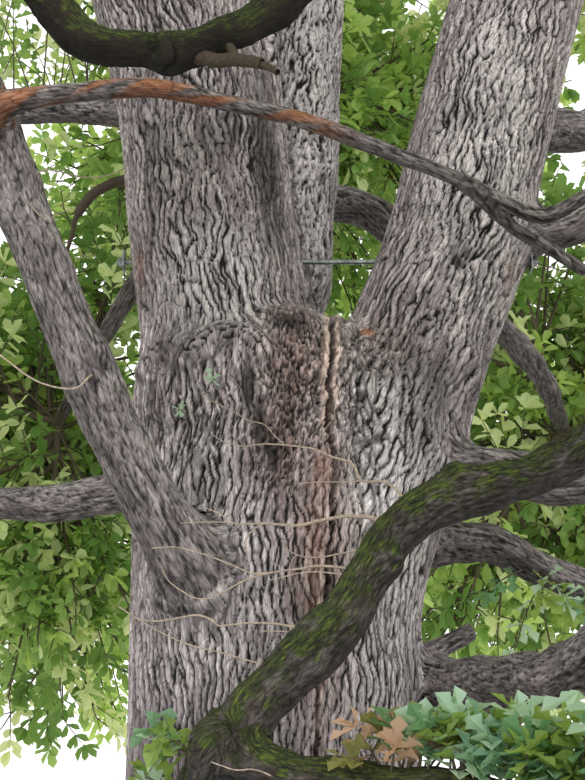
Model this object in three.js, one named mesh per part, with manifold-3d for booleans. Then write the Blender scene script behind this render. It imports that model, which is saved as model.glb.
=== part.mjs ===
// A mature oak that forks low into three stems, with a wide, open crown.
// Millimetres, +Z up. The origin is the middle of the flat cut under the trunk, at ground level.
// The side with the split in the fork faces -Y.
import * as THREE from "three";
import { mergeVertices } from "three/addons/utils/BufferGeometryUtils.js";
import Module from "manifold-3d";

const wasm = await Module();
wasm.setup();

// Clearances
const JOIN_GAP = 0.35; // between two pieces of wood that meet
const LEAF_CLEARANCE = 25; // between a leaf or twig and any limb

// Trunk: an oval column with a root flare, widened below the fork by the two big stems inside it
const TRUNK_HALF_WIDTH = 612;
const TRUNK_DEPTH_SHARE = 0.92; // depth over width
const TRUNK_LEAN = -88; // how far the column's middle stands left of the origin, from breast height up
const BREAST_HEIGHT = 1300;
const COLUMN_TOP = 4050;
const COLUMN_CAP = 450; // the column rounds off over this height above its top
const FORK_HEIGHT = 4380; // the trunk ends and the stems begin
const FLARE_HEIGHT = 520;
const FLARE_SHARE = 0.42; // extra radius at the ground
const ROOT_RIDGES = 7;
const ROOT_RIDGE_SHARE = 0.13;
const ROOT_RIDGE_TURN = 0.6;
const WIDEN_FROM = 3300;
const FORK_SHIFT = 230; // how far the fork's middle stands right of the column's
const TRUNK_SIDES = 24;
const TRUNK_LEVELS = [0, 180, 480, 950, 1900, 2800, 3300, 3650, 3950, 4200, FORK_HEIGHT];
const BLEND = 70; // how softly the stems run into the column
const HALVINGS = 24; // to find where the wood ends along a ray

// Limbs
const COLLAR_SHARE = 0.38; // swelling where a bough leaves its parent
const COLLAR_LENGTH = 260;
const LIMB_SIDES = 7;
const STEM_SIDES = 12;
const HIGH_SIDES = 6;
const LONG_ROUTE = 7; // a route of more points has one ring at each, a shorter one has rings between too
const SUNK_SHARE = 0.6; // of a route's first stretch, inside the parent
const ARC_DIVISIONS = 400;
const CHAIN_STEPS = 40; // cones that stand for a limb where a distance to it is measured

// A bough that is led to its mass leaves its parent in this direction, outwards and up
const LED_OUTWARDS = 0.75;
const LED_UPWARDS = 0.65;
const LED_HANDLE = 0.3; // how far it holds that direction, as a share of the way
const LED_LIFT = 0.06; // how far it comes in above its mass's stem
const LED_SPANS = 4;

// Crown: tiers of leaf masses round the stems
const CROWN_MIDDLE = [0, 300];
const TIERS = [
  { name: "skirt", count: 8, out: 6400, height: 5600, radii: [2900, 2900, 2450], turn: 22.5 },
  { name: "waist", count: 8, out: 6600, height: 9600, radii: [2950, 2950, 2550], turn: 0 },
  { name: "shoulder", count: 6, out: 4700, height: 13300, radii: [2850, 2850, 2500], turn: 0 },
  { name: "top", count: 3, out: 2300, height: 16300, radii: [2500, 2500, 2400], turn: 90 },
];
const LOW_MASS = { seed: 60, centre: [1700, -2450, 1900], radii: [1300, 1000, 650] };
const ENTRY_SHARE = 0.6; // a bough ends this far out from the middle of its mass
const TIER_JITTER = 400;

// Twigs and leaves in a mass
const MAIN_TWIGS = 6;
const SPRAY_PLACES = [0.5, 0.75, 1]; // along a main twig
const SPRAY_TURNS = [60, -60, 0]; // degrees to the side
const SPRAY_LENGTH = 1600; // each blade stands for a spray of leaves
const SPRAY_WIDTH = 1150;
const SPRAY_THICKNESS = 40;
const SPRAY_SIZES = [1, 0.85, 0.7, 0.55]; // a spray that doesn't fit is tried smaller
const SPACE_MARGIN = 15; // between the spaces of two masses and what is in them
const FULL_SIZE_RADIUS = 2400; // sprays are smaller in a mass below this radius
const SPRAY_TILT = { outwards: 0.35, seeded: 0.45 }; // of a blade's upper face
const STEM_SHAPE = { straight: 0.35, beyond: 0.3, tip: 0.4 }; // of the stem through a mass
const TWIG_SHARE = 0.6; // of the stem's radius
const TWIG_TIP_RADIUS = 14;
const TWIG_SLANT = 0.3; // a twig leaves its stem this far before it is abreast of its tip
const TWIG_ARCH = [-0.02, 0.14]; // rise in its middle, as a share of its length
const LEAST_REACH = 0.25;
const REACH_STEP = 50;
const GOLDEN_ANGLE = Math.PI * (3 - Math.sqrt(5));

// Steel rod that ties the two big stems above the fork
const ROD_HEIGHT = 4790;
const ROD_RADIUS = 12;
const ROD_SIDES = 8;
const ROD_ENDS = [-830, 1165];
const ROD_CLEARANCE = 1;
const NUT_RADIUS = 24;
const NUT_SIDES = 6;
const NUT_LENGTH = 22;
const PLATE_SIDE = 90;
const PLATE_THICKNESS = 8;
const PLATE_PLACES = [-795, 1125];
const PLATE_BITE = 1; // the nut runs this far into its plate

const MATERIALS = {
  bark: new THREE.MeshStandardMaterial({ color: 0x7d7066, roughness: 0.92, metalness: 0 }),
  mossy_bark: new THREE.MeshStandardMaterial({ color: 0x565a34, roughness: 0.95, metalness: 0 }),
  dead_wood: new THREE.MeshStandardMaterial({ color: 0x8f6a50, roughness: 0.85, metalness: 0 }),
  leaf: new THREE.MeshStandardMaterial({ color: 0x4f7d2c, roughness: 0.55, metalness: 0 }),
  steel: new THREE.MeshStandardMaterial({ color: 0x9a9c9c, roughness: 0.4, metalness: 1 }),
};

const vec = (x, y, z) => new THREE.Vector3(x, y, z);
const UP = vec(0, 0, 1);

// A repeatable number from 0 to 1 for a seed and an index.
function share(seed, index) {
  const s = Math.sin(seed * 127.1 + index * 311.7) * 43758.5453;
  return s - Math.floor(s);
}

// Limbs whose way shows from the split side: a route in from the parent's axis, radius at base and tip.
// leadsTo is the leaf mass that the limb ends in: its tier and its number in the tier.
const SHOWN_LIMBS = [
  {
    name: "left_stem", radius: [385, 120], collar: 0, leadsTo: ["top", 1], hold: 0.32,
    route: [[-180, 0, 3000], [-250, 0, 3700], [-320, 0, 4440], [-400, 25, 5000], [-480, 60, 5700],
      [-640, 110, 6350], [-1050, 250, 8200], [-1450, 50, 11000]],
  },
  {
    name: "right_stem", radius: [335, 115], collar: 0, leadsTo: ["top", 2], hold: 0.3,
    route: [[120, 0, 3000], [370, 0, 3720], [610, 0, 4440], [760, 50, 4830], [890, 100, 5370],
      [1140, 200, 6300], [1700, 150, 8200], [2050, -150, 11000]],
  },
  {
    name: "rear_stem", radius: [190, 95], collar: 0.2, leadsTo: ["top", 0], hold: 0.3,
    route: [[-230, 100, 4350], [-20, 300, 4780], [10, 400, 5320], [70, 500, 6190], [100, 650, 7000],
      [100, 1500, 10500]],
  },
  {
    name: "left_bough", radius: [122, 62], leadsTo: ["waist", 5],
    route: [[-200, -150, 2980], [-480, -600, 3280], [-720, -800, 3690], [-1010, -1000, 4340],
      [-1230, -1110, 4880], [-1900, -1700, 6500]],
  },
  {
    name: "rear_left_bough", radius: [95, 55], leadsTo: ["skirt", 3],
    route: [[-250, 150, 3870], [-880, 500, 3800], [-1190, 700, 3810], [-1480, 900, 3870], [-3000, 1600, 4300]],
  },
  {
    name: "hanging_bough_inner", radius: [98, 86], mossy: true,
    route: [[1640, 150, 8000], [1300, -450, 7300], [620, -830, 6450], [120, -930, 5800], [-200, -990, 5440],
      [-520, -1000, 5310]],
  },
  {
    name: "hanging_bough_outer", radius: [86, 60], leadsTo: ["skirt", 4], mossy: true, collar: 0,
    route: [[-520, -1000, 5310], [-860, -1000, 5360], [-1080, -1000, 5600], [-1500, -1080, 6150],
      [-2900, -1700, 6500]],
  },
  {
    name: "mossy_foot", radius: [125, 108], mossy: true,
    route: [[-230, -300, 2010], [-320, -700, 2120], [-300, -980, 2270], [-235, -1150, 2370]],
  },
  {
    name: "mossy_arm", radius: [97, 50], leadsTo: ["waist", 7], mossy: true, collar: 0.1,
    route: [[-235, -1150, 2370], [-110, -1150, 2550], [80, -1150, 2730], [180, -1150, 2840], [320, -1120, 3070],
      [400, -1100, 3200], [500, -1090, 3280], [770, -1050, 3380], [1130, -1000, 3540], [2300, -1700, 5200]],
  },
  {
    name: "mossy_low_arm", radius: [86, 40], mossy: true, collar: 0.1, leadsTo: "low",
    route: [[-235, -1150, 2370], [30, -1250, 2270], [290, -1400, 2220], [580, -1600, 2185]],
  },
  {
    name: "right_bough_upper", radius: [112, 58], leadsTo: ["skirt", 7],
    route: [[380, 0, 3600], [610, -50, 3690], [910, -150, 3700], [1260, -300, 3630], [3200, -1200, 4300]],
  },
  {
    name: "right_bough_middle", radius: [90, 52], leadsTo: ["skirt", 0],
    route: [[200, 100, 3380], [590, 300, 3490], [910, 400, 3530], [1180, 500, 3430], [1390, 550, 3360],
      [3200, 1500, 4000]],
  },
  {
    name: "right_bough_lower", radius: [122, 70], leadsTo: ["skirt", 6],
    route: [[150, 200, 2900], [480, 300, 2850], [670, 0, 2790], [760, -300, 2740], [880, -600, 2710],
      [1050, -1200, 2670], [1500, -3000, 3300]],
  },
  {
    name: "sawn_stub", radius: [44, 39],
    route: [[150, 300, 2860], [490, 400, 2960], [660, 450, 3040], [830, 500, 3130]],
  },
  {
    name: "right_rear_bough", radius: [124, 62], leadsTo: ["waist", 1],
    route: [[930, 120, 5500], [1080, 500, 5710], [1310, 620, 5840], [1590, 800, 5940], [3000, 2200, 7600]],
  },
  {
    name: "right_side_bough", radius: [76, 56], leadsTo: ["waist", 0],
    route: [[790, 60, 4900], [1150, 0, 4940], [1370, -100, 4950], [3000, -200, 6800]],
  },
  {
    name: "back_bough", radius: [100, 58], leadsTo: ["skirt", 1],
    route: [[20, 400, 5420], [60, 750, 5500], [220, 850, 5530], [370, 900, 5520], [580, 1050, 5440],
      [1500, 2600, 5300]],
  },
  {
    name: "left_rear_bough", radius: [66, 50], leadsTo: ["waist", 3],
    route: [[-500, 100, 5700], [-890, 400, 5820], [-1290, 600, 5950], [-1570, 700, 5990], [-2900, 2400, 7600]],
  },
  {
    name: "peeled_branch", radius: [42, 24], collar: 0.2, dead: true,
    route: [[-1235, -1115, 4890], [-1180, -1290, 4885], [-870, -1300, 4940], [-560, -1300, 4960], [-170, -1300, 4870],
      [30, -1300, 4820], [270, -1300, 4720], [570, -1300, 4590], [790, -1300, 4480], [970, -1300, 4390],
      [1140, -1300, 4480], [1500, -1330, 4700]],
  },
  {
    name: "peeled_branch_fork", radius: [27, 23], collar: 0, dead: true,
    route: [[680, -1300, 4530], [870, -1250, 4360], [980, -1220, 4310], [1130, -1200, 4210]],
  },
];

// Boughs that the rule below leads from a parent limb, at a height, to their mass.
const LED_BOUGHS = [
  { name: "back_left_bough", parent: "rear_stem", height: 5700, radius: [88, 50], leadsTo: ["skirt", 2] },
  { name: "front_left_bough", parent: "left_bough", height: 5300, radius: [70, 45], leadsTo: ["skirt", 5] },
  { name: "high_back_bough", parent: "rear_stem", height: 7200, radius: [92, 50], leadsTo: ["waist", 2] },
  { name: "high_left_bough", parent: "left_stem", height: 7400, radius: [120, 55], leadsTo: ["waist", 4] },
  { name: "high_front_bough", parent: "left_stem", height: 7900, radius: [110, 52], leadsTo: ["waist", 6] },
  { name: "shoulder_bough_1", parent: "right_stem", height: 9400, radius: [105, 52], leadsTo: ["shoulder", 0] },
  { name: "shoulder_bough_2", parent: "rear_stem", height: 9000, radius: [85, 48], leadsTo: ["shoulder", 1] },
  { name: "shoulder_bough_3", parent: "left_stem", height: 9700, radius: [105, 52], leadsTo: ["shoulder", 2] },
  { name: "shoulder_bough_4", parent: "left_stem", height: 10500, radius: [95, 50], leadsTo: ["shoulder", 3] },
  { name: "shoulder_bough_5", parent: "left_stem", height: 9100, radius: [100, 50], leadsTo: ["shoulder", 4] },
  { name: "shoulder_bough_6", parent: "right_stem", height: 10200, radius: [100, 50], leadsTo: ["shoulder", 5] },
];

// The crown's masses: tiers of them, and one small one low down on the mossy arm.
function crownMasses() {
  const masses = [];
  for (const [t, tier] of TIERS.entries()) {
    for (let i = 0; i < tier.count; i++) {
      const seed = 10 * (t + 1) + i;
      const angle = THREE.MathUtils.degToRad(tier.turn + (360 / tier.count) * i);
      const out = tier.out + TIER_JITTER * (share(seed, 1) - 0.5);
      const height = tier.height + TIER_JITTER * (share(seed, 2) - 0.5);
      masses.push({
        name: `leaves_${tier.name}_${i + 1}`,
        key: tier.name + i,
        seed,
        centre: vec(CROWN_MIDDLE[0] + out * Math.cos(angle), CROWN_MIDDLE[1] + out * Math.sin(angle), height),
        radii: vec(...tier.radii),
      });
    }
  }
  const [centre, radii] = [vec(...LOW_MASS.centre), vec(...LOW_MASS.radii)];
  masses.push({ name: "leaves_low", key: "low", seed: LOW_MASS.seed, centre, radii });
  return masses;
}

const masses = crownMasses();
const massFor = (leadsTo) => masses.find((mass) => mass.key === [leadsTo].flat().join(""));

// Where a bough coming from a point enters its mass.
function entryOf(mass, from) {
  const away = from.clone().sub(mass.centre);
  const unit = away.clone().divide(mass.radii).length();
  return mass.centre.clone().addScaledVector(away, ENTRY_SHARE / unit);
}

// A limb: its curve, and its radius at a share of its length. hold keeps the base radius up to that share.
function makeLimb({ name, points, radius, collar = COLLAR_SHARE, sunk = 0, hold = 0, ...rest }) {
  const curve = new THREE.CatmullRomCurve3(points);
  curve.arcLengthDivisions = ARC_DIVISIONS;
  const length = curve.getLength();
  const radiusAt = (u) => {
    const taper = Math.max(0, (u - hold) / (1 - hold));
    const swelling = 1 + collar * Math.exp(-Math.max(0, u * length - sunk) / COLLAR_LENGTH);
    return (radius[0] + (radius[1] - radius[0]) * taper) * swelling;
  };
  const levels = (points.length - 1) * (points.length > LONG_ROUTE ? 1 : 2);
  return { name, curve, length, levels, radiusAt, chain: curve.getSpacedPoints(CHAIN_STEPS), ...rest };
}

// The point on a limb at a height, and its share along it.
function pointAtHeight(limb, height) {
  for (let u = 0; u <= 1; u += 0.002) {
    if (limb.curve.getPointAt(u).z >= height) return { point: limb.curve.getPointAt(u), u };
  }
  return { point: limb.curve.getPointAt(1), u: 1 };
}

// A led bough leaves its parent rising outwards, then levels towards its mass.
function ledRoute(start, end) {
  const span = end.clone().sub(start);
  const outward = vec(span.x, span.y, 0).normalize();
  const leave = outward.multiplyScalar(LED_OUTWARDS).addScaledVector(UP, LED_UPWARDS).normalize();
  const early = start.clone().addScaledVector(leave, LED_HANDLE * span.length());
  const late = end.clone().addScaledVector(span, -LED_HANDLE).addScaledVector(UP, LED_LIFT * span.length());
  return new THREE.CubicBezierCurve3(start, early, late, end).getPoints(LED_SPANS);
}

function allLimbs() {
  const limbs = new Map();
  for (const shown of SHOWN_LIMBS) {
    const points = shown.route.map((p) => vec(...p));
    if (shown.leadsTo) points.push(entryOf(massFor(shown.leadsTo), points.at(-1)));
    const sunk = SUNK_SHARE * points[0].distanceTo(points[1]);
    const sides = shown.name.endsWith("_stem") ? STEM_SIDES : LIMB_SIDES;
    limbs.set(shown.name, makeLimb({ ...shown, points, sunk, sides }));
  }
  for (const led of LED_BOUGHS) {
    const parent = limbs.get(led.parent);
    const { point, u } = pointAtHeight(parent, led.height);
    const points = ledRoute(point, entryOf(massFor(led.leadsTo), point));
    limbs.set(led.name, makeLimb({ ...led, points, sunk: parent.radiusAt(u), sides: HIGH_SIDES }));
  }
  return limbs;
}

// A closed cylinder whose vertices are moved: place(level, angle, onAxis) gives each one's new position.
function shapedCylinder(sides, levels, place) {
  const geometry = new THREE.CylinderGeometry(1, 1, 1, sides, levels);
  const positions = geometry.attributes.position;
  const point = vec(0, 0, 0);
  for (let i = 0; i < positions.count; i++) {
    point.fromBufferAttribute(positions, i);
    const level = Math.round((point.y + 0.5) * levels);
    const onAxis = Math.hypot(point.x, point.z) < 0.5;
    const { x, y, z } = place(level, Math.atan2(point.x, point.z), onAxis);
    positions.setXYZ(i, x, y, z);
  }
  return geometry;
}

// Cross-sections of a limb, spread evenly over its route's points, each turned as little as it can be.
function limbSections(limb, levels) {
  const arcs = limb.curve.getLengths(levels);
  let normal = vec(0, -1, 0.1);
  return arcs.map((arc, k) => {
    const tangent = limb.curve.getTangent(k / levels);
    normal = normal.clone().addScaledVector(tangent, -normal.dot(tangent)).normalize();
    return {
      middle: limb.curve.getPoint(k / levels),
      radius: limb.radiusAt(arc / arcs.at(-1)),
      tangent,
      normal,
      binormal: tangent.clone().cross(normal),
    };
  });
}

// A tapering tube round a limb, grown outwards by a margin.
function limbGeometry(limb, { margin = 0, sides = limb.sides, levels = limb.levels } = {}) {
  const sections = limbSections(limb, levels);
  return shapedCylinder(sides, levels, (level, angle, onAxis) => {
    const { middle, radius, tangent, normal, binormal } = sections[level];
    const out = onAxis ? 0 : radius + margin;
    const beyond = level === 0 ? -margin : level === levels ? margin : 0;
    return middle.clone()
      .addScaledVector(tangent, beyond)
      .addScaledVector(normal, out * Math.cos(angle))
      .addScaledVector(binormal, out * Math.sin(angle));
  });
}

// Distance from a point to the surface of a limb taken as a chain of cones.
function limbDistance(limb, point) {
  let least = Infinity;
  for (let k = 0; k < CHAIN_STEPS; k++) {
    const line = new THREE.Line3(limb.chain[k], limb.chain[k + 1]);
    const t = line.closestPointToPointParameter(point, true);
    const radius = limb.radiusAt((k + t) / CHAIN_STEPS);
    least = Math.min(least, line.at(t, vec(0, 0, 0)).distanceTo(point) - radius);
  }
  return least;
}

// Radius of the trunk's oval column at a height and an angle, with the root flare and its ridges.
function columnRadius(height, angle) {
  const flare = Math.exp(-height / FLARE_HEIGHT);
  const ridge = ROOT_RIDGE_SHARE * flare * Math.cos(ROOT_RIDGES * angle + ROOT_RIDGE_TURN);
  const over = Math.max(0, (height - COLUMN_TOP) / COLUMN_CAP);
  const rounded = Math.sqrt(Math.max(0, 1 - over ** 2));
  return TRUNK_HALF_WIDTH * (1 + FLARE_SHARE * flare) * (1 + ridge) * rounded;
}

const columnMiddle = (height) => TRUNK_LEAN * Math.min(1, height / BREAST_HEIGHT);

// The trunk's outline: rays from its middle, out to where the column and the stems inside it end.
function trunkGeometry(stems, margin = 0) {
  const trunkDistance = (point) => {
    const dx = point.x - columnMiddle(point.z);
    const dy = point.y / TRUNK_DEPTH_SHARE;
    const distances = [Math.hypot(dx, dy) - columnRadius(point.z, Math.atan2(dy, dx))];
    distances.push(...stems.map((stem) => limbDistance(stem, point)));
    return -BLEND * Math.log(distances.reduce((sum, d) => sum + Math.exp(-d / BLEND), 0));
  };
  return shapedCylinder(TRUNK_SIDES, TRUNK_LEVELS.length - 1, (level, angle, onAxis) => {
    const height = TRUNK_LEVELS[level];
    const widen = Math.max(0, (height - WIDEN_FROM) / (FORK_HEIGHT - WIDEN_FROM));
    const middle = vec(columnMiddle(height) + FORK_SHIFT * widen, 0, height);
    const ray = vec(Math.sin(angle), -Math.cos(angle), 0);
    let [near, far] = [0, 3 * TRUNK_HALF_WIDTH];
    for (let n = 0; n < HALVINGS; n++) {
      const half = (near + far) / 2;
      if (trunkDistance(middle.clone().addScaledVector(ray, half)) < 0) near = half;
      else far = half;
    }
    middle.z += height === FORK_HEIGHT ? margin : 0;
    return middle.addScaledVector(ray, onAxis ? 0 : near + margin);
  });
}

// A closed geometry as a solid that can be joined and cut.
function solidOf(geometry) {
  const plain = geometry.clone();
  plain.deleteAttribute("normal");
  plain.deleteAttribute("uv");
  const merged = mergeVertices(plain, 1e-3);
  return new wasm.Manifold(new wasm.Mesh({
    numProp: 3,
    vertProperties: merged.attributes.position.array,
    triVerts: new Uint32Array(merged.index.array),
  }));
}

function geometryOf(solid) {
  const { vertProperties, triVerts } = solid.getMesh();
  return new THREE.BufferGeometry()
    .setAttribute("position", new THREE.BufferAttribute(vertProperties, 3))
    .setIndex(new THREE.BufferAttribute(triVerts, 1));
}

function meshOf(name, solid, material) {
  const geometry = geometryOf(solid);
  geometry.computeVertexNormals();
  const mesh = new THREE.Mesh(geometry, material);
  mesh.name = name;
  return mesh;
}

// The largest body of a solid, its closest vertices merged: a cut or a join can leave a scrap.
function mainBody(solid) {
  return solidOf(geometryOf(solid)).decompose().sort((a, b) => b.volume() - a.volume())[0];
}

function boxSolid(low, high) {
  const size = high.clone().sub(low);
  const middle = low.clone().add(high).divideScalar(2);
  return solidOf(new THREE.BoxGeometry(size.x, size.y, size.z).translate(middle.x, middle.y, middle.z));
}

function boxesMeet(a, b) {
  return a.min.every((low, i) => low <= b.max[i] && b.min[i] <= a.max[i]);
}

// Trunk and limbs, each cut clear of the wood made before it.
function buildWood(limbs) {
  const stems = [limbs.get("left_stem"), limbs.get("right_stem")];
  const wood = [{
    name: "trunk", limb: null, solid: solidOf(trunkGeometry(stems)), grown: solidOf(trunkGeometry(stems, JOIN_GAP)),
  }];
  const wide = 3 * TRUNK_HALF_WIDTH;
  const belowFork = boxSolid(vec(-wide, -wide, 0), vec(wide, wide, FORK_HEIGHT + JOIN_GAP));
  for (const [name, limb] of limbs) {
    let solid = solidOf(limbGeometry(limb));
    let grown = solidOf(limbGeometry(limb, { margin: JOIN_GAP }));
    if (name.endsWith("_stem")) [solid, grown] = [solid.subtract(belowFork), grown.subtract(belowFork)];
    for (const other of wood) {
      if (!boxesMeet(solid.boundingBox(), other.grown.boundingBox())) continue;
      if (solid.intersect(other.grown).volume() > 0) solid = solid.subtract(other.grown);
    }
    wood.push({ name, limb, solid: mainBody(solid), grown });
  }
  return wood;
}

// Directions spread evenly over a sphere, turned by the mass's own seed.
function spreadDirection(index, count, spin) {
  const z = 1 - (2 * index + 1) / count;
  const flat = Math.sqrt(1 - z * z);
  const angle = index * GOLDEN_ANGLE + spin;
  return vec(flat * Math.cos(angle), flat * Math.sin(angle), z);
}

// The space of a mass: inside its ellipsoid, and nearer to it than to any other mass.
function inSpace(mass, point) {
  if (point.clone().sub(mass.centre).divide(mass.radii).length() > 1) return false;
  const power = (m) => point.distanceToSquared(m.centre) - m.radii.x ** 2;
  return masses.every((other) => other === mass
    || power(mass) + 2 * SPACE_MARGIN * mass.centre.distanceTo(other.centre) < power(other));
}

// How far the space of a mass reaches from its middle in a direction.
function spaceReach(mass, direction) {
  let reach = 0;
  while (inSpace(mass, mass.centre.clone().addScaledVector(direction, reach + REACH_STEP))) reach += REACH_STEP;
  return reach;
}

// A flat blade of eight faces that starts at the middle of its twig.
function sprayGeometry(root, along, normal, size) {
  const side = normal.clone().cross(along).normalize();
  const face = along.clone().cross(side);
  const length = size * SPRAY_LENGTH;
  const middle = root.clone().addScaledVector(along, length / 2);
  return new THREE.OctahedronGeometry(1)
    .scale(length / 2, (size * SPRAY_WIDTH) / 2, SPRAY_THICKNESS / 2)
    .applyMatrix4(new THREE.Matrix4().makeBasis(along, side, face).setPosition(middle));
}

// Whether every corner of a geometry lies in the space of a mass.
function staysInSpace(mass, geometry) {
  const positions = geometry.attributes.position;
  return Array.from({ length: positions.count }, (_, i) => vec(0, 0, 0).fromBufferAttribute(positions, i))
    .every((corner) => inSpace(mass, corner));
}

// The stem of a mass: on from its bough's tip, through the middle.
function massStem(mass, bough, gap) {
  const tip = bough.curve.getPointAt(1);
  const heading = bough.curve.getTangentAt(1);
  const start = tip.clone().addScaledVector(heading, gap);
  const through = mass.centre.clone().sub(start);
  const radius = bough.radiusAt(1);
  const ahead = start.clone().addScaledVector(heading, STEM_SHAPE.straight * through.length());
  const end = mass.centre.clone().addScaledVector(through, STEM_SHAPE.beyond);
  return makeLimb({ points: [start, ahead, mass.centre, end], radius: [radius, radius * STEM_SHAPE.tip], collar: 0 });
}

const sizeOf = (mass) => Math.min(1, mass.radii.x / FULL_SIZE_RADIUS);

// Main twigs: one towards each of the spread directions, leaving the stem at a slant.
function mainTwig(mass, stem, index) {
  const direction = spreadDirection(index, MAIN_TWIGS, 2 * Math.PI * share(mass.seed, 0));
  const reach = spaceReach(mass, direction) - sizeOf(mass) * SPRAY_LENGTH;
  const target = mass.centre.clone().addScaledVector(direction, Math.max(reach, LEAST_REACH * mass.radii.x));
  const entry = stem.curve.getPointAt(0);
  const axis = stem.curve.getPointAt(1).sub(entry);
  const ahead = target.clone().sub(entry).dot(axis) / axis.lengthSq();
  const leave = THREE.MathUtils.clamp(ahead - TWIG_SLANT, 0.08, 0.96);
  const root = stem.curve.getPointAt(leave);
  const arch = THREE.MathUtils.lerp(...TWIG_ARCH, share(mass.seed, 30 + index));
  const middle = root.clone().lerp(target, 0.5).addScaledVector(UP, arch * root.distanceTo(target));
  const radius = [TWIG_SHARE * stem.radiusAt(leave), TWIG_TIP_RADIUS];
  return makeLimb({ points: [root, middle, target], radius, collar: 0 });
}

// The largest blade at a place on a twig that stays in the mass's space and clear of all else, if any does.
function fittingSpray(mass, twig, index, k, clear) {
  const tangent = twig.curve.getTangentAt(SPRAY_PLACES[k]);
  const outward = twig.curve.getPointAt(1).sub(mass.centre).normalize();
  const number = index * SPRAY_PLACES.length + k;
  const seeded = spreadDirection(number, MAIN_TWIGS * SPRAY_PLACES.length, mass.seed);
  const normal = UP.clone().addScaledVector(outward, SPRAY_TILT.outwards).addScaledVector(seeded, SPRAY_TILT.seeded);
  const along = tangent.applyAxisAngle(normal.normalize(), THREE.MathUtils.degToRad(SPRAY_TURNS[k]));
  for (const size of SPRAY_SIZES) {
    const spray = sprayGeometry(twig.curve.getPointAt(SPRAY_PLACES[k]), along, normal, size * sizeOf(mass));
    if (!staysInSpace(mass, spray)) continue;
    const blade = solidOf(spray);
    if (clear(blade)) return blade;
  }
  return null;
}

// One mass: its stem, main twigs and sprays, all joined. A twig that touches a limb or a spray is skipped.
function buildMass(mass, bough, obstacle) {
  const stem = massStem(mass, bough, JOIN_GAP);
  const inTheWay = [obstacle];
  const clear = (solid) => inTheWay.every((other) => solid.intersect(other).volume() === 0);
  let body = solidOf(limbGeometry(stem, { sides: 4, levels: 3 }));
  for (let j = 0; j < MAIN_TWIGS; j++) {
    const twig = mainTwig(mass, stem, j);
    const twigSolid = solidOf(limbGeometry(twig, { sides: 3, levels: 2 }));
    if (!clear(twigSolid)) continue;
    body = body.add(twigSolid);
    for (const k of SPRAY_PLACES.keys()) {
      const blade = fittingSpray(mass, twig, j, k, clear);
      if (!blade) continue;
      body = body.add(blade);
      inTheWay.push(blade);
    }
  }
  return mainBody(body);
}

// The steel rod with a plate and a nut at each end, and the bore that it runs in.
function rodAlongX(radius, from, to, sides) {
  return solidOf(new THREE.CylinderGeometry(radius, radius, to - from, sides)
    .rotateZ(Math.PI / 2).translate((from + to) / 2, 0, ROD_HEIGHT));
}

function braceRod() {
  let rod = rodAlongX(ROD_RADIUS, ...ROD_ENDS, ROD_SIDES);
  for (const [i, place] of PLATE_PLACES.entries()) {
    const outward = i === 0 ? -1 : 1;
    const plate = new THREE.BoxGeometry(PLATE_THICKNESS, PLATE_SIDE, PLATE_SIDE).translate(place, 0, ROD_HEIGHT);
    const nutFrom = place + outward * (PLATE_THICKNESS / 2 - PLATE_BITE);
    const nutEnds = [nutFrom, nutFrom + outward * NUT_LENGTH].sort((a, b) => a - b);
    rod = rod.add(solidOf(plate)).add(rodAlongX(NUT_RADIUS, ...nutEnds, NUT_SIDES));
  }
  return rod;
}

function buildTree() {
  const tree = new THREE.Group();
  const limbs = allLimbs();
  const wood = buildWood(limbs);
  const bore = rodAlongX(ROD_RADIUS + ROD_CLEARANCE, ...ROD_ENDS, ROD_SIDES);
  for (const { name, limb, solid } of wood) {
    const bored = name === "left_stem" || name === "right_stem" ? mainBody(solid.subtract(bore)) : solid;
    const material = limb?.mossy ? MATERIALS.mossy_bark : limb?.dead ? MATERIALS.dead_wood : MATERIALS.bark;
    tree.add(meshOf(name, bored, material));
  }
  tree.add(meshOf("brace_rod", braceRod(), MATERIALS.steel));
  const obstacle = wood.slice(1)
    .map((piece) => solidOf(limbGeometry(piece.limb, { margin: LEAF_CLEARANCE })))
    .reduce((all, solid) => all.add(solid), wood[0].grown);
  for (const limb of limbs.values()) {
    if (!limb.leadsTo) continue;
    const mass = massFor(limb.leadsTo);
    tree.add(meshOf(mass.name, buildMass(mass, limb, obstacle), MATERIALS.leaf));
  }
  return tree;
}

export default buildTree();
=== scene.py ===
import math
import bmesh
import bpy
import numpy as np
from mathutils import Matrix, Vector


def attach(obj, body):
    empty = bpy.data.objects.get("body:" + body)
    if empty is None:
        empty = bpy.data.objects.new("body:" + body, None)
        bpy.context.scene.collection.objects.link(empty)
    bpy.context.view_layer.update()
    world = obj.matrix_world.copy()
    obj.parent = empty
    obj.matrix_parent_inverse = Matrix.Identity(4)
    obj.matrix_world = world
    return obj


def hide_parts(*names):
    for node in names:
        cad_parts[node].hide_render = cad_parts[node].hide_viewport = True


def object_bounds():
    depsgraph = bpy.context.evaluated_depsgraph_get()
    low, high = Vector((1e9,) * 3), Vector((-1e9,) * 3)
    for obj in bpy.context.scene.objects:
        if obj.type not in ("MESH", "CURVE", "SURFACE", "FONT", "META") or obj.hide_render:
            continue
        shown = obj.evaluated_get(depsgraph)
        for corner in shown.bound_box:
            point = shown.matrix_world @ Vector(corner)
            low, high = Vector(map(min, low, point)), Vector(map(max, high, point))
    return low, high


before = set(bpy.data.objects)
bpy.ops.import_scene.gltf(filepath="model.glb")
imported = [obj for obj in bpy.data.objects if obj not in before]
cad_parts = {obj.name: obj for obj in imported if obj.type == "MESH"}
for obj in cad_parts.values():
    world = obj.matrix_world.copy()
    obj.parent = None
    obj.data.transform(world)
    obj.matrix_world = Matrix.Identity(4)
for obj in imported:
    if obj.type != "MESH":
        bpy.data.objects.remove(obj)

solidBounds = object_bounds()
coarse = 1.0
mm = 0.001
up = np.array([0.0, 0.0, 1.0])


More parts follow.
